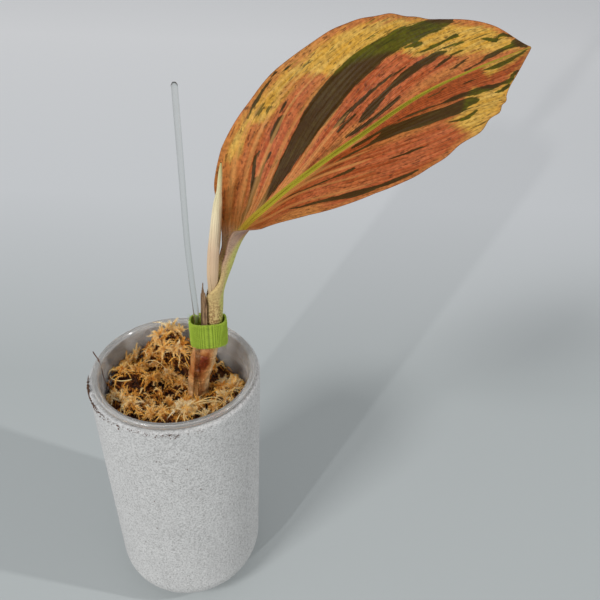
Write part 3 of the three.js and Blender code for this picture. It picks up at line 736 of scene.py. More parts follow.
# New leaf, still rolled: an outer roll whose edge lies over itself, and the inner roll that stands out of it
spearShape = {
    "route": [
        (18.8, 2.4, 165.3), (20.2, 2.3, 180), (20.5, 2.1, 189), (20.8, 0.9, 195), (21.1, -1.2, 202),
        (22, -2.8, 212), (23.6, -5.2, 223.5), (25, -7.4, 234), (26.5, -10, 245), (27.5, -12.2, 253),
        (28.4, -14.2, 260),
    ],
    # Each roll: radius along it, first and last station and how many, where its edge starts, and its winding
    # in each mm
    "rolls": {
        "spearOuterRoll": {
            "radius": [(0, 2.4), (50, 2.5), (66, 2.2), (76, 1.75), (82, 1.2), (87, 0.5)],
            "span": (0.3, 87, 210),
            "turn": 1.5,
            "twist": 0.012,
        },
        "spearInnerRoll": {
            "radius": [(0, 1.5), (60, 1.4), (80, 1.1), (92, 0.75), (98.3, 0.15)],
            "span": (55, 98.3, 110),
            "turn": 3.6,
            "twist": 0.02,
        },
    },
    # How far the outer roll's edge stands off, and how much wider the inner roll gets towards its edge
    "overlap": 0.34,
    "innerWidening": 0.14,
    # The outer roll's mouth is cut slanting, over its last 13 mm
    "slant": 1.76,
    "slantFrom": 74,
    "slantTurn": 0.8,
    "ridge": 0.025,
    "ridges": 16,
    "sides": 96,
}


def makeSpear():
    shape = spearShape
    route = smoothRoute(shape["route"])
    angle = turns(shape["sides"])[None]
    material = shootMaterial()
    for name, roll in shape["rolls"].items():
        outer = name == "spearOuterRoll"
        station = np.linspace(*roll["span"])
        radius = valueAt(roll["radius"], station)[:, None]
        turned = (angle + roll["turn"] + roll["twist"] * station[:, None]) % (2 * np.pi)
        if outer:
            lap = shape["overlap"] * smooth(turned / (2 * np.pi), 0.25, 1.0) * np.minimum(1, radius / 1.2)
            ridge = shape["ridge"] * np.sin(shape["ridges"] * angle) * np.minimum(1, radius)
            radius = radius - shape["overlap"] / 2 + lap + ridge
        else:
            radius = radius * (0.92 + shape["innerWidening"] * smooth(turned / (2 * np.pi), 0.2, 1.0))
        rings = carried(route, station, radius, angle)
        if outer:
            mouth = smooth(station, shape["slantFrom"], station[-1])[:, None]
            rings[:, :, 2] += shape["slant"] * mouth * np.cos(angle - shape["slantTurn"])
        points, faces = tubeBody(rings)
        fields = {
            "along": np.r_[np.repeat(station, angle.size), station[0], station[-1]],
            "turn": np.r_[turned.ravel(), 0, 0],
        }
        makePiece(name, points, faces, material, "new_leaf_spear", fields)


# Young leaf tissue, nearly without green: cream with a pink flush low down, greener at the tip
def shootMaterial():
    material, tree, surface, known = newMaterial(
        "young leaf tissue", ("along", "turn"), {"dots": (1100, 3, 0.5, 1)}, Roughness=0.45, IOR=1.42,
    )
    place = addNode(tree, "ShaderNodeCombineXYZ", {"X": known["turn"], "Y": known["along"]}, "Vector")
    stretched = addNode(tree, "ShaderNodeMapping", {"Vector": place, "Scale": (7.0, 0.07, 1.0)}, "Vector")
    known["streak"] = addNode(tree, "ShaderNodeTexNoise", {
        "Vector": stretched, "Scale": 1.0, "Detail": 4.0,
    }, "Fac")
    wire(tree, surface, known, [
        ("height", "share", "along", 20.0, 98.0, 1.0),
        ("ground", "ramp", "height", (
            (0.0, "d8be86"), (0.18, "e2c29c"), (0.40, "e6c6a4"), (0.62, "fcebc4"), (0.86, "ebe3b2"),
            (1.0, "c9c880"),
        )),
        ("streaked", "lay", "ground", "cda684", "streak", 0.45, 0.75, 0.5),
        # Brown specks, close together at the foot and gone 34 mm up
        ("dotted", "share", "dots", 0.42, 0.56, 1.0),
        ("low", "share", "along", 34.0, 4.0, 1.0),
        ("speckles", "MULTIPLY", "dotted", "low"),
        ("Base Color", "mix", "streaked", "7c4d2e", "speckles"),
        ("Normal", "bump", "streak", 0.0002, 0.6),
    ])
    return material


# Dry scale beside the sheath: a curved strip with a grain and two ragged points
scaleShape = {
    "radius": 5.1,
    "wall": 0.35,
    "bottom": 165.6,
    "top": 196,
    "from": 156,
    "to": 250,
    "foot": (18.7, 2.4),
    "lean": 0.077,
    # How much it turns and narrows up to the top, and the depth of the notch between its points
    "turnUp": 6,
    "narrowing": 0.3,
    "notch": 0.24,
    "columns": 61,
    "rows": 120,
}


def makeDryScale():
    shape = scaleShape
    t = np.linspace(0, 1, shape["rows"])[:, None]
    share = np.linspace(0, 1, shape["columns"])[None]
    middle = (shape["from"] + shape["to"]) / 2 + shape["turnUp"] * t
    reach = (shape["to"] - shape["from"]) / 2 * (1 - shape["narrowing"] * t)
    angle = np.radians(middle + reach * (2 * share - 1))
    notch = shape["notch"] * np.abs(np.sin(2.2 * np.pi * share + 0.6)) * t + 0.12 * smooth(share, 0.5, 0.9)
    rise = (shape["top"] - shape["bottom"]) * t * (1 - notch)
    grain = 0.16 * np.sin(46 * share + 2 * t) + 0.12 * np.sin(19 * share) - 0.5 * (1 - smooth(t, 0.0, 0.3))
    radius = shape["radius"] + 0.3 * np.sin(3 * np.pi * share) * t + grain

    def wall(r):
        x = shape["foot"][0] + shape["lean"] * rise + r * np.cos(angle)
        y = shape["foot"][1] + r * np.sin(angle)
        return np.stack([x, y, shape["bottom"] + rise], -1)

    points, faces = sheetBody(wall(radius + shape["wall"]), wall(radius))
    # Dry leaf sheath, papery: a brown grain that runs up it
    material, tree, surface, known = newMaterial(
        "dry leaf sheath, papery", grains={"fibre": (1300, 4, 0.65, 0.16)}, Roughness=0.8,
    )
    wire(tree, surface, known, [
        ("Base Color", "ramp", "fibre", ((0.34, "4a3423"), (0.5, "8a6b4c"), (0.68, "bb9a72"))),
        ("Normal", "bump", "fibre", 0.0004, 0.8),
    ])
    makePiece("dryScale", points, faces, material, "dry_sheath")


# Rhizome and stem base: a lumpy bar with ring scars and fleshy roots
stemShape = {
    "stations": [
        (8.2, 3, 92, 2.2), (8.6, 3, 98, 4.6), (9.2, 3, 124, 4.9), (10.7, 2.8, 137, 5.5),
        (12.7, 2.6, 148, 5.8), (14.7, 2.4, 155.5, 5.9), (16.8, 2.4, 160.5, 5.3), (18.2, 2.4, 164.2, 4.3),
    ],
    "sides": 96,
    "rings": 250,
    # Lumps as (cell, height, seed), and scars one below the other, each a slanting groove
    "lumpRadius": 3.2,
    "lumps": [(1.7, 0.42, 3), (0.7, 0.2, 4)],
    "scarSpacing": 8.5,
    "scarDepth": 0.28,
    "scarWidth": 0.5,
    "scarSlant": 1.2,
    "rootCrown": (8.8, 3, 99),
    "roots": 5,
    "rootLength": 34,
    "rootRadius": 1.2,
    "rootSides": 12,
}


def makeStem():
    shape = stemShape
    route = smoothRoute([s[:3] for s in shape["stations"]])
    length = alongRoute(route, np.zeros(1))[2]
    station = np.linspace(0.1, length - 0.1, shape["rings"])
    knots = np.linalg.norm(np.diff(np.array([s[:3] for s in shape["stations"]]), axis=0), axis=1)
    step = np.r_[0, np.cumsum(knots)] * length / knots.sum()
    radius = valueAt(list(zip(step, [s[3] for s in shape["stations"]])), station)[:, None]
    angle = turns(shape["sides"])[None]
    around = polar(shape["lumpRadius"], angle, station[:, None] * 0.5)
    beside = (station[:, None] + shape["scarSlant"] * np.sin(angle)) % shape["scarSpacing"] - 4
    scars = -shape["scarDepth"] * np.exp(-(beside / shape["scarWidth"]) ** 2)
    skin = radius - 0.25 + noises(around, shape["lumps"]) + scars
    rings = carried(route, station, skin, angle)
    bodies = [tubeBody(rings)]
    random = np.random.default_rng(7)
    x, y, z = shape["rootCrown"]
    for i in range(shape["roots"]):
        turn = 2 * np.pi * (i + 0.3 * random.random()) / shape["roots"]
        reach = 9 + 4 * random.random()
        top = z + 2 * i
        low = top - shape["rootLength"] + 6 * random.random()
        out = np.array([np.cos(turn), np.sin(turn)])
        root = smoothRoute([
            (*(np.array([x, y]) + 0.12 * reach * out), top),
            (*(np.array([x, y]) + reach * out), top - 8),
            (*(np.array([x, y]) + 1.15 * reach * out), low),
        ], 40)
        rootStation = np.linspace(0.1, alongRoute(root, np.zeros(1))[2] - 0.1, 40)
        fat = np.linspace(1.3, 0.5, 40)[:, None] * shape["rootRadius"]
        rootRings = carried(root, rootStation, fat, turns(shape["rootSides"])[None], (1, 0.2, 0))
        bodies.append(tubeBody(rootRings))
    points, faces = joined(bodies)
    # Tone, dark to pale: a red patch on the front left, pale towards the right, tan at the foot
    tone = np.full(len(points), 0.4)
    side = np.broadcast_to(np.cos(angle - math.radians(20)), skin.shape)
    level = rings[..., 2]
    patch = np.exp(-((side + 0.15) / 0.55) ** 2 - ((level - 150.5) / 5.5) ** 2)
    pale = 0.5 * smooth(side, 0.05, 0.85)
    pale = pale + 0.2 * (1 - smooth(level, 137, 144)) + 0.12 * smooth(level, 155, 159)
    tone[:rings[..., 0].size] = (0.42 + pale - 0.34 * patch).ravel()
    makePiece("stemBase", points, faces, stemMaterial(), "pseudostem", {"tone": tone})


# Living skin of the stem base: tan and red-brown in patches, a little moist
def stemMaterial():
    material, tree, surface, known = newMaterial(
        "rhizome skin", ("tone",), {"patches": (210, 3, 0.6, 0.45), "grain": (1500, 3, 0.5, 0.45)},
        **{"Roughness": 0.3, "IOR": 1.45, "Coat Weight": 0.25, "Coat Roughness": 0.2},
    )
    wire(tree, surface, known, [
        ("patchy", "MULTIPLY_ADD", "patches", 0.9, "tone"),
        ("level", "SUBTRACT", "patchy", 0.45),
        ("skin", "ramp", "level", (
            (0.05, "4e1408"), (0.2, "7c3014"), (0.38, "b06a38"), (0.58, "d69a60"), (0.85, "ecc692"),
        )),
        ("Base Color", "lay", "skin", "4a2616", "grain", 0.5, 0.75, 0.55),
        ("Normal", "bump", "grain", 0.0004, 0.7),
    ])
    return material


# Tie: a band of hook tape round the rod and the sheath, with upright ribs of small loops
tieShape = {
    "centre": (17.1, 1.5),
    "halfLength": 8.5,
    "halfDepth": 5.3,
    "turn": 9,
    "wall": 0.8,
    "bottom": 161.6,
    "top": 175.2,
    "ribs": 56,
    "ribDepth": 0.5,
    "stitch": 1.0,
    "squareness": 0.68,
    # Unevenness of the face as (cell, height, seed)
    "uneven": [(2.2, 0.16, 5), (0.8, 0.07, 6)],
    "rows": 76,
    "innerRows": 30,
    # Loose fibres: how many, the share of them on the edges, their length and radius
    "fibres": 120,
    "fibresOnEdge": 0.75,
    "fibreLength": (0.5, 1.5),
    "fibreRadius": 0.07,
}


# Points on the tie's oval, moved out by grow
def tieOval(angle, grow):
    shape = tieShape
    c, s = np.cos(angle), np.sin(angle)
    x = (shape["halfLength"] + grow) * np.sign(c) * np.abs(c) ** shape["squareness"]
    y = (shape["halfDepth"] + grow) * np.sign(s) * np.abs(s) ** shape["squareness"]
    turn = math.radians(shape["turn"])
    return (
        shape["centre"][0] + x * math.cos(turn) - y * math.sin(turn),
        shape["centre"][1] + x * math.sin(turn) + y * math.cos(turn),
    )


def makeTie():
    shape = tieShape
    around = shape["ribs"] * 8
    angle = turns(around)
    height = shape["top"] - shape["bottom"]
    z = np.linspace(0, height, shape["rows"])[:, None]
    rib = np.abs(np.sin(shape["ribs"] * angle / 2))[None] ** 0.7
    # Stitches of neighbouring ribs lie half a stitch apart
    shift = 0.5 * np.round(shape["ribs"] * angle / (2 * np.pi))
    stitch = 0.6 + 0.4 * np.cos(2 * np.pi * (z / shape["stitch"] + shift))
    places = polar(9, angle[None], z)
    edge = np.minimum(smooth(z, 0, 0.7), smooth(height - z, 0, 0.7))
    outer = -0.28 + edge * (shape["ribDepth"] * rib * stitch + 0.12) + noises(places, shape["uneven"])
    waviness = 0.22 * np.sin(3 * angle + 1)[None] * (z / height - 0.5) * 2
    sag = 0.12 * noise(places, 5.0, 8)
    x, y = tieOval(angle[None], outer)
    front = np.stack([x, y, shape["bottom"] + z + waviness * 0.4 + sag * edge], -1)
    inZ = np.linspace(height, 0, shape["innerRows"])[:, None]
    ix, iy = tieOval(angle[None], -shape["wall"] + 0.05 * np.sin(40 * angle)[None] + 0 * inZ)
    back = np.stack([ix, iy, shape["bottom"] + inZ + 0 * ix], -1)
    ring = np.concatenate([front, back])
    points = ring.reshape(-1, 3)
    faces = gridTriangles(len(ring), around, wrapRows=True, wrapColumns=True)
    material = tapeMaterial()
    # How raised the face is, for the painted shade in the grooves; the inside wall gets half
    raised = np.concatenate([rib * stitch + 0 * z, np.full(ix.shape, 0.5)]).ravel()
    makePiece("tieBand", points, faces, material, "tie", {"raised": raised})

    # Loose fibres along the edges and on the face
    random = np.random.default_rng(12)
    count = shape["fibres"]
    turn = random.uniform(0, 2 * np.pi, count)
    onEdge = random.random(count) < shape["fibresOnEdge"]
    edgeStart = np.where(random.random(count) < 0.6, height - 0.2, 0.2)
    start = np.where(onEdge, edgeStart, random.uniform(0, height, count))
    t = np.linspace(0, 1, 7)[None, :, None]
    x, y = tieOval(turn, -0.1)
    base = np.stack([x, y, shape["bottom"] + start], -1)[:, None]
    out = np.stack([np.cos(turn), np.sin(turn), 0 * turn], -1)[:, None]
    lift = np.where(onEdge, np.sign(start - height / 2), random.uniform(-1, 1, count))[:, None, None]
    length = random.uniform(*shape["fibreLength"], count)[:, None, None]
    sway = random.normal(0, 0.5, (count, 1, 3))
    axis = base + length * t * (0.5 * out + 0.5 * lift * np.array([0, 0, 1])) + sway * t * t
    axis[..., 2] = np.clip(axis[..., 2], shape["bottom"] - 0.3, shape["top"] + 0.9)
    points, faces = threads(axis, np.full(count, shape["fibreRadius"]), 3)
    raised = np.full(len(points), 0.7)
    makePiece("tieFibres", points, faces, material, "tie", {"raised": raised})


# Thin closed threads round axes of shape (count, steps, 3), tapering to their tips
def threads(axis, radius, sides, taper=0.6):
    count, steps = axis.shape[:2]
    along = np.gradient(axis, axis=1)
    along /= np.linalg.norm(along, axis=-1, keepdims=True) + 1e-9
    helper = np.where(np.abs(along[..., 2:3]) > 0.85, [1.0, 0.0, 0.0], [0.0, 0.0, 1.0])
    side = np.cross(helper, along)
    side /= np.linalg.norm(side, axis=-1, keepdims=True)
    front = np.cross(along, side)
    angle = turns(sides)
    thin = radius[:, None] * (1 - taper * np.linspace(0, 1, steps)[None] ** 2)
    ring = np.cos(angle)[:, None] * side[:, :, None] + np.sin(angle)[:, None] * front[:, :, None]
    points = axis[:, :, None] + thin[..., None, None] * ring
    single = gridTriangles(steps, sides, wrapColumns=True)
    k = np.arange(1, sides - 1)
    start = np.stack([0 * k, k + 1, k], -1)
    end = np.stack([0 * k, k, k + 1], -1) + (steps - 1) * sides
    single = np.vstack([single, start, end])
    faces = (single[None] + np.arange(count)[:, None, None] * steps * sides).reshape(-1, 3)
    return points.reshape(-1, 3), faces


# Nylon hook-and-loop tape, woven: matt lime green with a soft sheen from its loops, and painted shade
# darkening the grooves between its ribs
def tapeMaterial():
    material, tree, surface, known = newMaterial(
        "nylon hook tape, woven", ("raised",), {"blotch": (420, 4, 0.5, 1), "fibre": (2600, 2, 0.5, 1)},
        **{"Roughness": 0.9, "Sheen Weight": 0.35, "Sheen Tint": toLinear("d6f08a")},
    )
    wire(tree, surface, known, [
        ("tape", "mix", "9cb32a", "c0d94c", "blotch"),
        ("tape", "lay", "tape", "6c8a16", "fibre", 0.45, 0.7, 0.5),
        # Painted shade: darker where the face is low, between the ribs and stitches
        ("Base Color", "lay", "tape", "4d6410", "raised", 0.6, 0.1, 0.6),
        ("Normal", "bump", "fibre", 0.0003, 0.7),
    ])
    return material


# Clear rod, a little bent
rodShape = {
    "route": [
        (9.6, 6, 282.2), (10.2, 3, 252.6), (10.7, 0.5, 215.3), (11.6, -0.9, 198.3), (12.5, -1.4, 178),
        (12.1, -2.2, 158), (10.2, -3.9, 139), (7.4, -5, 100), (4.6, -6, 62),
    ],
    "radius": 1.28,
    "sides": 40,
    "rings": 220,
    "refractionTurn": 0.45,
    "refractionWidth": 0.42,
}


def makeRod():
    shape = rodShape
    route = smoothRoute(shape["route"])
    length = alongRoute(route, np.zeros(1))[2]
    station = np.linspace(0.02, length - 0.02, shape["rings"])
    angle = turns(shape["sides"])[None]
    radius = shape["radius"] * (1 - 0.5 * np.exp(-station / 0.25) - 0.5 * np.exp((station - length) / 0.25))
    radius = radius[:, None]
    rings = carried(route, station, radius, angle)
    points, faces = tubeBody(rings)
    # Painted refraction: a reddish streak down the left of the upper half, where the clear rod shows the
    # leaf and stem through it
    beside = 1 - np.cos(angle - shape["refractionTurn"])
    streak = np.exp(-2 * beside / shape["refractionWidth"] ** 2) * smooth(rings[..., 2], 196, 226)
    # Acrylic, extruded: clear and smooth; only the painted refraction streak is coloured and less clear
    material, tree, surface, known = newMaterial("acrylic, extruded", ("streak",), Roughness=0.06, IOR=1.49)
    wire(tree, surface, known, [
        ("Base Color", "mix", "f4f6f4", "7a3a26", "streak"),
        ("Transmission Weight", "SUBTRACT", 1.0, "streak"),
    ])
    streak = np.r_[streak.ravel(), np.zeros(len(points) - streak.size)]
    makePiece("rodClear", points, faces, material, "support_rod", {"streak": streak})


# Cup: clear, with a rolled lip on the rim of the pot and a stepped collar below it
cupShape = {
    "seat": 144.3,
    "lipRadius": 39,
    "lipHeight": 2.2,
    "collarRadius": 36.6,
    "collarDepth": 6,
    "step": 1.3,
    "bottomRadius": 27,
    "bottom": 34,
    "wall": 0.9,
    "sides": 160,
}


# Points on an arc about (r, z), angles in degrees
def arc(r, z, radius, start, stop, count):
    turn = np.radians(np.linspace(start, stop, count))
    return [(r + radius * math.cos(a), z + radius * math.sin(a)) for a in turn]


# Round piece turned about the vertical axis from an open profile whose ends lie on the axis
def turnedBody(profile, sides):
    profile = np.array(profile)[1:-1]
    return polar(profile[:, :1], turns(sides), profile[:, 1:])


def makeCup():
    shape = cupShape
    seat, collar, wall = shape["seat"], shape["collarRadius"], shape["wall"]
    top = seat + shape["lipHeight"]
    step = seat - shape["collarDepth"]
    shoulder = collar - shape["step"]
    low = shape["bottomRadius"]
    profile = [(0, shape["bottom"])]
    profile += arc(low - 1.5, shape["bottom"] + 1.5, 1.5, -90, 0, 5)
    profile += [(low + (shoulder - low) * t, shape["bottom"] + (step - shape["bottom"]) * t)
                for t in (0.3, 0.6, 0.9)]
    profile += [(shoulder, step - 0.3), (shoulder + 0.4, step + 0.2), (collar - 0.3, step + shape["step"])]
    profile += [(collar, step + shape["step"] + 0.4), (collar, seat - 0.3), (collar + 0.3, seat)]
    profile += arc(shape["lipRadius"] - 0.7, seat + 0.7, 0.7, -90, 0, 5)
    profile += arc(shape["lipRadius"] - 0.8, top - 0.8, 0.8, 0, 90, 6)
    profile += arc(collar + 0.3, top - 0.5, 0.5, 90, 150, 4)
    profile += [(collar - wall + 0.2, top - 0.9), (collar - wall, top - 1.5)]
    profile += [(collar - wall, step + shape["step"] + 0.2), (shoulder - wall + 0.3, step + 0.1)]
    profile += [(shoulder - wall, step - 0.4)]
    profile += [(low - wall + (shoulder - low) * t, shape["bottom"] + 2 + (step - shape["bottom"] - 2) * t)
                for t in (0.9, 0.6, 0.3)]
    profile += arc(low - wall - 1.2, shape["bottom"] + wall + 1.2, 1.2, 0, -90, 5)
    profile += [(0, shape["bottom"] + wall)]
    points, faces = tubeBody(turnedBody(profile, shape["sides"]))
    # Clear polypropylene, moulded: a little milky, lets the moss show through, bright lines on its edges
    material, *_ = newMaterial("polypropylene, clear, moulded", **{
        "Base Color": toLinear("f2f0ed"), "Roughness": 0.09, "IOR": 1.49, "Transmission Weight": 0.74,
    })
    makePiece("cupClear", points, faces, material, "inner_cup")


# Pot: cast stone, a slightly tapered shell with a rounded heel and a sandy skin
potShape = {
    "height": 144,
    "rimRadius": 41,
    "footRadius": 18,
    "heelRadius": 21.2,
    "wall": 4,
    "floor": 6,
    "sides": 400,
    # Length of the skin's and the inside's steps, and the skin's grains as (cell, height, seed)
    "skinStep": 0.95,
    "insideStep": 7,
    "grainDepth": 0.21,
    "grains": [(1.1, 1.0, 11), (2.6, 0.6, 12)],
    "pitCell": 1.7,
}


# Even steps along a profile, so that the grain has the same size all over
def evenProfile(profile, spacing):
    profile = np.array(profile, float)
    length = np.r_[0, np.cumsum(np.linalg.norm(np.diff(profile, axis=0), axis=1))]
    s = np.linspace(0, length[-1], max(2, int(length[-1] / spacing)))
    return np.stack([np.interp(s, length, profile[:, k]) for k in (0, 1)], -1)


def makePot():
    shape = potShape
    heel, foot, rim, top = shape["heelRadius"], shape["footRadius"], shape["rimRadius"], shape["height"]
    inner = heel - shape["wall"]
    outside = [(0.5, 0), (foot, 0)] + arc(foot, heel, heel, -90, 0, 24)[1:] + [(rim, top - 1.2)]
    outside += arc(rim - 1.2, top - 1.2, 1.2, 0, 90, 6)[1:]
    inside = arc(rim - shape["wall"] + 0.6, top - 0.6, 0.6, 90, 180, 4)
    inside += arc(foot, shape["floor"] + inner, inner, 0, -90, 8) + [(0.5, shape["floor"])]
    skin = evenProfile(outside, shape["skinStep"])
    liner = evenProfile(inside, shape["insideStep"])
    profile = np.vstack([skin, liner])
    angle = turns(shape["sides"])
    r, z = profile[:, 0][:, None], profile[:, 1][:, None]
    place = polar(r, angle, z)
    pits = -smooth(noise(place, shape["pitCell"], 13), 0.45, 0.8)
    depth = shape["grainDepth"] * (0.45 * noises(place, shape["grains"]) + 0.9 * pits) - 0.12
    flat = smooth(z, 0.0, 0.8)
    outward = np.where(np.arange(len(profile)) < len(skin), 1.0, 0.0)[:, None]
    r = r + depth * outward * flat
    rings = polar(r, angle, z)
    points, faces = tubeBody(rings)
    makePiece("potBody", points, faces, stoneMaterial(), "pot")


# Cast stone with sand in it: pale grey and matt, mottled, with dark grains and pits
def stoneMaterial():
    material, tree, surface, known = newMaterial(
        "cast stone, sandy", (), {"cloud": (38, 5, 0.5, 1), "sand": (1150, 3, 0.75, 1)}, Roughness=0.95,
    )
    known["specks"] = addNode(tree, "ShaderNodeTexVoronoi", {
        "Vector": known["place"], "Scale": 330.0,
    }, "Distance")
    wire(tree, surface, known, [
        ("stone", "mix", "cbcac9", "e4e3e1", "cloud"),
        ("stone", "lay", "stone", "787673", "sand", 0.44, 0.66, 0.62),
        ("Base Color", "lay", "stone", "5a5650", "specks", 0.13, 0.06, 0.5),
        ("Normal", "bump", "sand", 0.0006, 0.8),
    ])
    return material


# Moss: level of its surface, with mounds on it as (x, y, rise, spread)
mossShape = {
    "level": 131,
    "mounds": [
        (-26, 2, 9, 14), (-8, 27, 16, 12), (-17, -22, 8, 11), (4, -27, 9, 12), (27, -6, 6, 11),
        (-3, -6, -5, 8), (27, 22, -7, 12), (10, 4, -5, 9),
    ],
    "bottom": 35.2,
    "bedDrop": 6,
    # Crumb of the bed as (cell, height, seed)
    "crumb": [(4.0, 1.5, 21), (1.4, 0.7, 22)],
    # Branches: how many, their least and most length, depth below the surface and arch, then the length
    # of a leaf and how far it stands out, as an angle
    "branches": 770,
    "branchLength": (4.5, 10),
    "branchDepth": (-4.6, -0.2),
    "branchArch": (0.5, 2.6),
    "branchLeaf": (1.5, 0.75),
    # Heads as (x, y, size, tone), and gaps between them as (x, y, radius)
    "heads": [
        (-7.4, 30, 1.1, 0.80), (-3, 31, 0.9, 0.72), (-13, 26, 1.0, 0.74), (-24.5, 20.3, 1.1, 0.66),
        (-28, 15, 0.9, 0.62), (-16, 18, 1.0, 0.62), (-9, 19, 1.0, 0.66), (-1, 20, 0.9, 0.60),
        (-13.5, 3, 0.9, 0.52), (-6, 8, 0.9, 0.60), (0.6, 7, 0.8, 0.68), (-21, 6, 0.9, 0.56),
        (-29, -9.7, 0.9, 0.72), (-24, -14, 0.9, 0.76), (-17, -19, 1.0, 0.70), (-8, -23, 0.9, 0.66),
        (7, -12.2, 0.9, 0.88), (5, -17, 1.0, 0.86), (16.8, -20, 0.9, 0.72), (-4, -20.7, 0.8, 0.60),
        (23, 7, 0.9, 0.80), (28, 1, 0.9, 0.70), (25, -9, 0.9, 0.70), (20, -14, 0.8, 0.64),
        (28, 10, 0.8, 0.62),
    ],
    "gaps": [
        (-2.5, -5.5, 3.6), (18.7, 2, 3.6), (-33, 11, 3), (-19, -2, 3), (12, 14, 5), (-8, -13, 2.5),
        (13, -7, 3),
    ],
    "smallHeads": 26,
    "branchesPerHead": 14,
    "headReach": (4.2, 8),
    "headRise": (0.1, 1.35),
    "headDroop": (0.05, 0.8),
    "headLeaf": (1.95, 0.66),
    "strawFrom": (8, -12),
    "straws": 20,
    "strawLength": (7, 19),
    "strawRadius": (0.16, 0.3),
}


# Height of the moss's surface at a place
def mossHeight(x, y):
    height = np.full(np.shape(x), float(mossShape["level"]))
    for mx, my, rise, spread in mossShape["mounds"]:
        height = height + rise * np.exp(-((x - mx) ** 2 + (y - my) ** 2) / spread ** 2)
    return height


# 1 in the middle of a gap in the moss, 0 away from it
def mossGap(x, y):
    deepest = np.zeros(np.shape(x))
    for gx, gy, radius in mossShape["gaps"]:
        deepest = np.maximum(deepest, np.exp(-((x - gx) ** 2 + (y - gy) ** 2) / radius ** 2))
    return deepest


# Inner radius of the cup at height z, less the room that a piece keeps to it
def cupRoom(z, room):
    shape = cupShape
    low = shape["bottomRadius"] - shape["wall"]
    high = shape["collarRadius"] - shape["step"] - shape["wall"]
    t = np.clip((z - shape["bottom"]) / (shape["seat"] - shape["collarDepth"] - shape["bottom"]), 0, 1)
    upper = smooth(z, 139.6, 140.2) * (shape["step"] - 0.2)
    return low + (high - low) * t + upper - room


# Moves points inside the cup's wall
def keepInCup(points, room=0.35):
    radius = np.hypot(points[..., 0], points[..., 1])
    most = cupRoom(points[..., 2], room)
    squeeze = np.where(radius > most, most / np.maximum(radius, 1e-6), 1)
    points[..., 0] *= squeeze
    points[..., 1] *= squeeze
    return points


# Bed: crumb below the sprigs, its peat-brown turned nearly black as painted shade in the gaps between them
def makeMossBed():
    shape = mossShape
    rings, sides = 70, 200
    share = np.linspace(1, 0, rings)[:-1][:, None]
    angle = turns(sides)[None]
    wall = cupRoom(shape["level"], 0.5)
    x, y = wall * share * np.cos(angle), wall * share * np.sin(angle)
    z = mossHeight(x, y) - shape["bedDrop"] - 2 * mossGap(x, y)
    z = z + noises(np.stack([x, y, 0 * x], -1), shape["crumb"])
    top = np.stack([x, y, z], -1)
    heights = np.linspace(shape["bottom"], 124, 24)[:, None]
    r = cupRoom(heights, 0.35) + 0 * angle
    r[0] -= 1.6
    side = polar(r, angle, heights)
    side = side + 0.12 * noise(side, 2.0, 23)[..., None] * np.array([1, 1, 0])
    points, faces = tubeBody(np.concatenate([side, top]))
    # The bed's tone is scaled by 0.16: painted shade, nearly black
    material = mossMaterial("dead moss, packed", 0.16)
    tone = 0.5 + 0.5 * noise(points, 3.0, 24)
    makePiece("mossBed", points, faces, material, "moss", {"tone": tone, "tip": 0 * tone})


# Leafy branches: a thin core with small pointed leaves all round it, each leaf four triangles.
# axis has shape (count, steps, 3); tone and size have one value for each branch.
def leafyBranches(axis, tone, size, leafLength, spread, random):
    count, steps = axis.shape[:2]
    along = np.gradient(axis, axis=1)
    along /= np.linalg.norm(along, axis=-1, keepdims=True) + 1e-9
    helper = random.normal(size=(count, 1, 3))
    side = np.cross(helper, along)
    side /= np.linalg.norm(side, axis=-1, keepdims=True) + 1e-9
    front = np.cross(along, side)
    perStep = 3
    turn = random.uniform(0, 2 * np.pi, (count, steps, perStep))
    turn = turn * 0.35 + np.arange(perStep) * 2 * np.pi / perStep + np.arange(steps)[None, :, None] * 1.1
    out = np.cos(turn)[..., None] * side[:, :, None] + np.sin(turn)[..., None] * front[:, :, None]
    tangent = np.cross(along[:, :, None], out)
    fade = 1 - 0.55 * np.linspace(0, 1, steps)[None, :, None, None] ** 1.5
    scale = size[:, None, None, None] * fade
    length = leafLength * scale * random.uniform(0.7, 1.25, (count, steps, perStep, 1))
    width = 0.34 * leafLength * scale
    base = axis[:, :, None] + 0.16 * scale * out
    ahead = np.cos(spread) * along[:, :, None] + np.sin(spread) * out
    curlIn = random.uniform(-0.25, 0.45, (count, steps, perStep, 1))
    tipPoint = base + length * (ahead + curlIn * along[:, :, None])
    belly = base + 0.45 * length * ahead + 0.16 * length * out
    leaf = np.stack([base + width * tangent * 0.5 + 0.4 * length * ahead * 0.6,
                     base - width * tangent * 0.5 + 0.4 * length * ahead * 0.6,
                     tipPoint, belly - 0.3 * length * out, base], -2)
    bodies = leaf.reshape(-1, 5, 3)
    single = np.array([[4, 0, 3], [4, 3, 1], [0, 2, 3], [1, 3, 2], [4, 1, 2], [4, 2, 0]])
    faces = (single[None] + np.arange(len(bodies))[:, None, None] * 5).reshape(-1, 3)
    leafTone = np.repeat(tone, steps * perStep * 5) + random.normal(0, 0.06, len(bodies)).repeat(5)
    tips = np.tile([0.2, 0.2, 1.0, 0.3, 0.0], len(bodies))
    core, coreFaces = threads(axis, 0.26 * size, 4)
    coreTone = np.repeat(tone, steps * 4)
    points = np.vstack([bodies.reshape(-1, 3), core])
    faces = np.vstack([faces, coreFaces + bodies.shape[0] * 5])
    return points, faces, np.r_[leafTone, coreTone], np.r_[tips, np.zeros(len(coreTone))]


# Random places on the moss, even over its area
def mossPlaces(count, random, most=33.0):
    turn = random.uniform(0, 2 * np.pi, count)
    distance = most * np.sqrt(random.random(count))
    return distance * np.cos(turn), distance * np.sin(turn)


# Painted shade: how much darker a point is painted for its depth below the top of the moss
def mossShade(points):
    depth = mossHeight(points[:, 0], points[:, 1]) + 0.4 - points[:, 2]
    return 0.11 * np.clip(depth, 0, 5)


# Level paths of equal steps from (x, y), heading as turn says at each step
def wander(x, y, length, turn):
    steps = turn.shape[1]
    ax = x[:, None] + length[:, None] * np.cumsum(np.cos(turn), 1) / steps
    ay = y[:, None] + length[:, None] * np.cumsum(np.sin(turn), 1) / steps
    return ax, ay
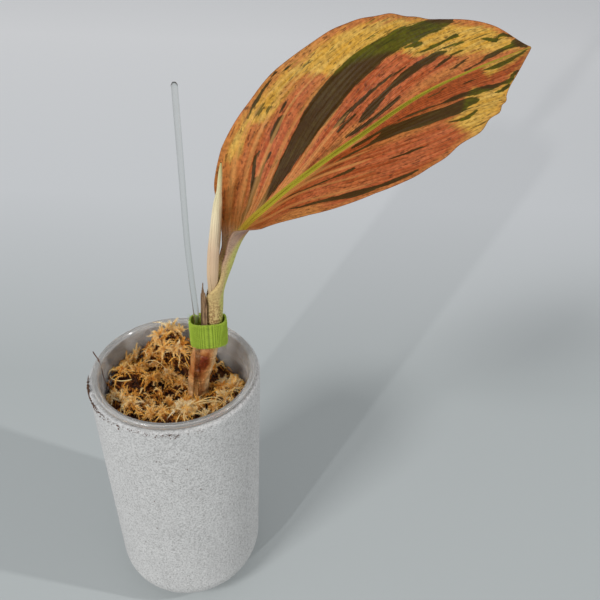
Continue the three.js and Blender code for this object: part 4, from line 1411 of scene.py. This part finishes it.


# One piece of leafy branches inside the cup, darker by a fixed amount, and by its depth as painted shade
def makeBranches(name, axis, tone, size, leaf, random, material, darker=0.0):
    points, faces, tones, tips = leafyBranches(axis, np.clip(tone, 0, 1), size, *leaf, random)
    keepInCup(points)
    fields = {"tone": tones - darker - mossShade(points), "tip": tips}
    makePiece(name, points, faces, material, "moss", fields, True)


def makeMossSprigs():
    shape = mossShape
    random = np.random.default_rng(33)
    material = mossMaterial("dead moss, dried", 1.0)

    # Loose branches lying over each other, sunk where there is a gap, and painted darker there as shade
    t = np.linspace(0, 1, 8)[None]
    count = shape["branches"]
    x, y = mossPlaces(count, random)
    heading = random.uniform(0, 2 * np.pi, count)
    length = random.uniform(*shape["branchLength"], count)
    curve = random.normal(0, 0.6, count)
    turn = heading[:, None] + curve[:, None] * (t - 0.3) * 2
    ax, ay = wander(x, y, length, turn)
    depth = random.uniform(*shape["branchDepth"], count)[:, None]
    gap = mossGap(ax, ay)
    az = mossHeight(ax, ay) + depth - 2.5 * gap
    az = az + random.uniform(*shape["branchArch"], count)[:, None] * np.sin(np.pi * t)
    patch = noise(np.stack([x, y, 0 * x], -1), 7.0, 51)
    # Painted shade in the tone: lower for deeper branches and in the gaps; the patch and the spread are
    # random
    tone = 0.62 + 0.07 * depth[:, 0] + 0.16 * patch - 0.35 * gap.mean(1) + random.normal(0, 0.13, count)
    size = random.uniform(0.7, 1.2, count)
    axis = np.stack([ax, ay, az], -1)
    makeBranches("mossBranches", axis, tone, size, shape["branchLeaf"], random, material)

    # Heads: branches that spread from one point and arch over
    each = shape["branchesPerHead"]
    hx, hy = mossPlaces(shape["smallHeads"], random, 30)
    small = np.stack([hx, hy, random.uniform(0.55, 0.8, len(hx)), random.uniform(0.45, 0.75, len(hx))], -1)
    heads = np.vstack([np.array(shape["heads"]), small])
    centre = np.stack([heads[:, 0], heads[:, 1], mossHeight(heads[:, 0], heads[:, 1]) - 0.6], -1)
    turn = random.uniform(0, 2 * np.pi, (len(heads), each))
    rise = random.uniform(*shape["headRise"], (len(heads), each))
    reach = random.uniform(*shape["headReach"], (len(heads), each)) * heads[:, 2:3]
    out = np.stack([np.cos(turn) * np.cos(rise), np.sin(turn) * np.cos(rise), np.sin(rise)], -1)
    steps = 9
    t = np.linspace(0.04, 1, steps)[None, None, :, None]
    droop = random.uniform(*shape["headDroop"], (len(heads), each))[..., None, None]
    sway = random.normal(0, 0.12, (len(heads), each, 1, 3)) * t ** 2
    step = t * out[:, :, None] - droop * t ** 2 * [0, 0, 1] + sway
    axis = centre[:, None, None] + reach[..., None, None] * step
    axis = axis.reshape(-1, steps, 3)
    tone = np.repeat(heads[:, 3], each) + random.normal(0, 0.07, axis.shape[0])
    size = random.uniform(0.8, 1.2, axis.shape[0]) * np.repeat(heads[:, 2], each) ** 0.5
    makeBranches("mossHeads", axis, tone, size, shape["headLeaf"], random, material, 0.03)

    # Straws: thin pale stalks that start from one pale clump at the front, and a few elsewhere
    count = shape["straws"]
    x0, y0 = shape["strawFrom"]
    loose = random.random(count) < 0.25
    sx, sy = mossPlaces(count, random, 26)
    x = np.where(loose, sx, x0 + random.normal(0, 1.2, count))
    y = np.where(loose, sy, y0 + random.normal(0, 1.2, count))
    heading = np.where(loose, random.uniform(0, 2 * np.pi, count), random.uniform(-1.3, 0.9, count))
    heading = np.where(random.random(count) < 0.3, heading + 2.4, heading)
    length = random.uniform(*shape["strawLength"], count)
    t = np.linspace(0, 1, 18)[None]
    turn = heading[:, None] + random.normal(0.2, 0.9, count)[:, None] * t
    ax, ay = wander(x, y, length, turn)
    az = mossHeight(ax, ay) + 0.6 + random.uniform(0.4, 2.4, count)[:, None] * np.sin(np.pi * t)
    thick = random.uniform(*shape["strawRadius"], count)
    points, faces = threads(np.stack([ax, ay, az], -1), thick, 6, 0.5)
    keepInCup(points)
    tone = np.full(len(points), 0.8)
    makePiece("mossStraws", points, faces, material, "moss", {"tone": tone, "tip": 0 * tone})


# Dried moss: golden, straw at the tips, fibrous and matt; nearly black deep down from painted shade in its
# tone, and a light below 1 paints a whole piece darker as shade
def mossMaterial(name, light):
    material, tree, surface, known = newMaterial(
        name, ("tone", "tip"), {"grain": (1200, 2, 0.5, 1)}, Roughness=0.85,
    )
    wire(tree, surface, known, [
        ("level", "MULTIPLY_ADD", "tip", 0.22, "tone"),
        ("varied", "MULTIPLY_ADD", "grain", 0.5, "level"),
        ("centred", "SUBTRACT", "varied", 0.25),
        ("lit", "MULTIPLY", "centred", light),
        ("Base Color", "ramp", "lit", (
            (0.0, "1c0c04"), (0.2, "84420c"), (0.36, "d48624"), (0.52, "f6b84a"), (0.74, "fbd484"),
            (1.0, "fff1cc"),
        )),
    ])
    return material


makeSpear()
makeDryScale()
makeStem()
makeTie()
makeRod()
makeCup()
makePot()
makeMossBed()
makeMossSprigs()


# Bits that have fallen from the moss: crumbs on the rim and on the pot, and one brown fibre across the lip
crumbShape = {
    # Patches as (middle angle, half angle, lowest z, highest z, count, smallest, largest) in degrees and mm
    "patches": [
        (199, 10, 138, 145, 110, 0.25, 0.75),
        (216, 26, 139.5, 143.8, 90, 0.15, 0.5),
        (214, 9, 139, 143.6, 30, 0.2, 0.45),
        (262, 34, 141.2, 144, 90, 0.08, 0.34),
        (278, 6, 140.6, 143.6, 26, 0.12, 0.4),
        (296, 9, 141, 143.6, 10, 0.15, 0.3),
        (262, 40, 40, 132, 16, 0.2, 0.42),
    ],
    "radius": 41.05,
    "fibre": [
        (-41.6, 8.2, 146.9), (-40.6, 6.5, 147.3), (-39.2, 4.6, 147.4), (-37.6, 2.6, 147.1),
        (-36.4, 0.8, 145.4), (-35.4, -0.8, 142.6), (-34.6, -2.4, 139.8), (-33.4, -4.0, 137.2),
    ],
    "fibreRadius": 0.3,
}


# Lumps of eight faces, each turned and stretched at random
def lumps(middle, size, random):
    count = len(middle)
    corners = np.array([(1, 0, 0), (0, 1, 0), (-1, 0, 0), (0, -1, 0), (0, 0, 1), (0, 0, -1)], float)
    upper = [(0, 1, 4), (1, 2, 4), (2, 3, 4), (3, 0, 4)]
    single = np.array(upper + [(1, 0, 5), (2, 1, 5), (3, 2, 5), (0, 3, 5)])
    stretch = random.uniform(0.45, 1.2, (count, 1, 3)) * size[:, None, None]
    axes = np.linalg.qr(random.normal(size=(count, 3, 3)))[0]
    axes *= np.sign(np.linalg.det(axes))[:, None, None]
    points = middle[:, None] + np.einsum("nij,nkj->nki", axes, corners * stretch)
    faces = single[None] + np.arange(count)[:, None, None] * 6
    return points.reshape(-1, 3), faces.reshape(-1, 3)


def makeCrumbs():
    shape = crumbShape
    random = np.random.default_rng(71)
    middle, size = [], []
    for angle, half, low, high, count, small, large in shape["patches"]:
        turn = np.radians(angle + half * random.normal(0, 0.5, count).clip(-1, 1))
        z = low + (high - low) * random.random(count) ** 0.6
        # The pot's side narrows downwards, and its rim is rounded off at the top
        r = shape["radius"] - 1.7 * (143 - z).clip(0, 200) / 122 - 0.5 * smooth(z, 143, 145.5)
        middle.append(polar(r, turn, z))
        size.append(random.uniform(small, large, count))
    points, faces = lumps(np.vstack(middle), np.hstack(size), random)
    # Peat, dry and crumbly: dark brown with paler grains, matt
    material, tree, surface, known = newMaterial(
        "peat, dry crumbs", grains={"grain": (900, 2, 0.5, 1)}, Roughness=0.95,
    )
    wire(tree, surface, known, [("Base Color", "mix", "1e1410", "7a5238", "grain")])
    makePiece("rimCrumbs", points, faces, material, "moss", flat=True)
    route = smoothRoute(shape["fibre"], 12)
    station = np.linspace(0, alongRoute(route, np.zeros(1))[2], 70)
    axis = alongRoute(route, station)[0][None]
    points, faces = threads(axis, np.array([shape["fibreRadius"]]), 8, 0.7)
    makePiece("rimFibre", points, faces, material, "moss")


makeCrumbs()
print("all pieces are made")
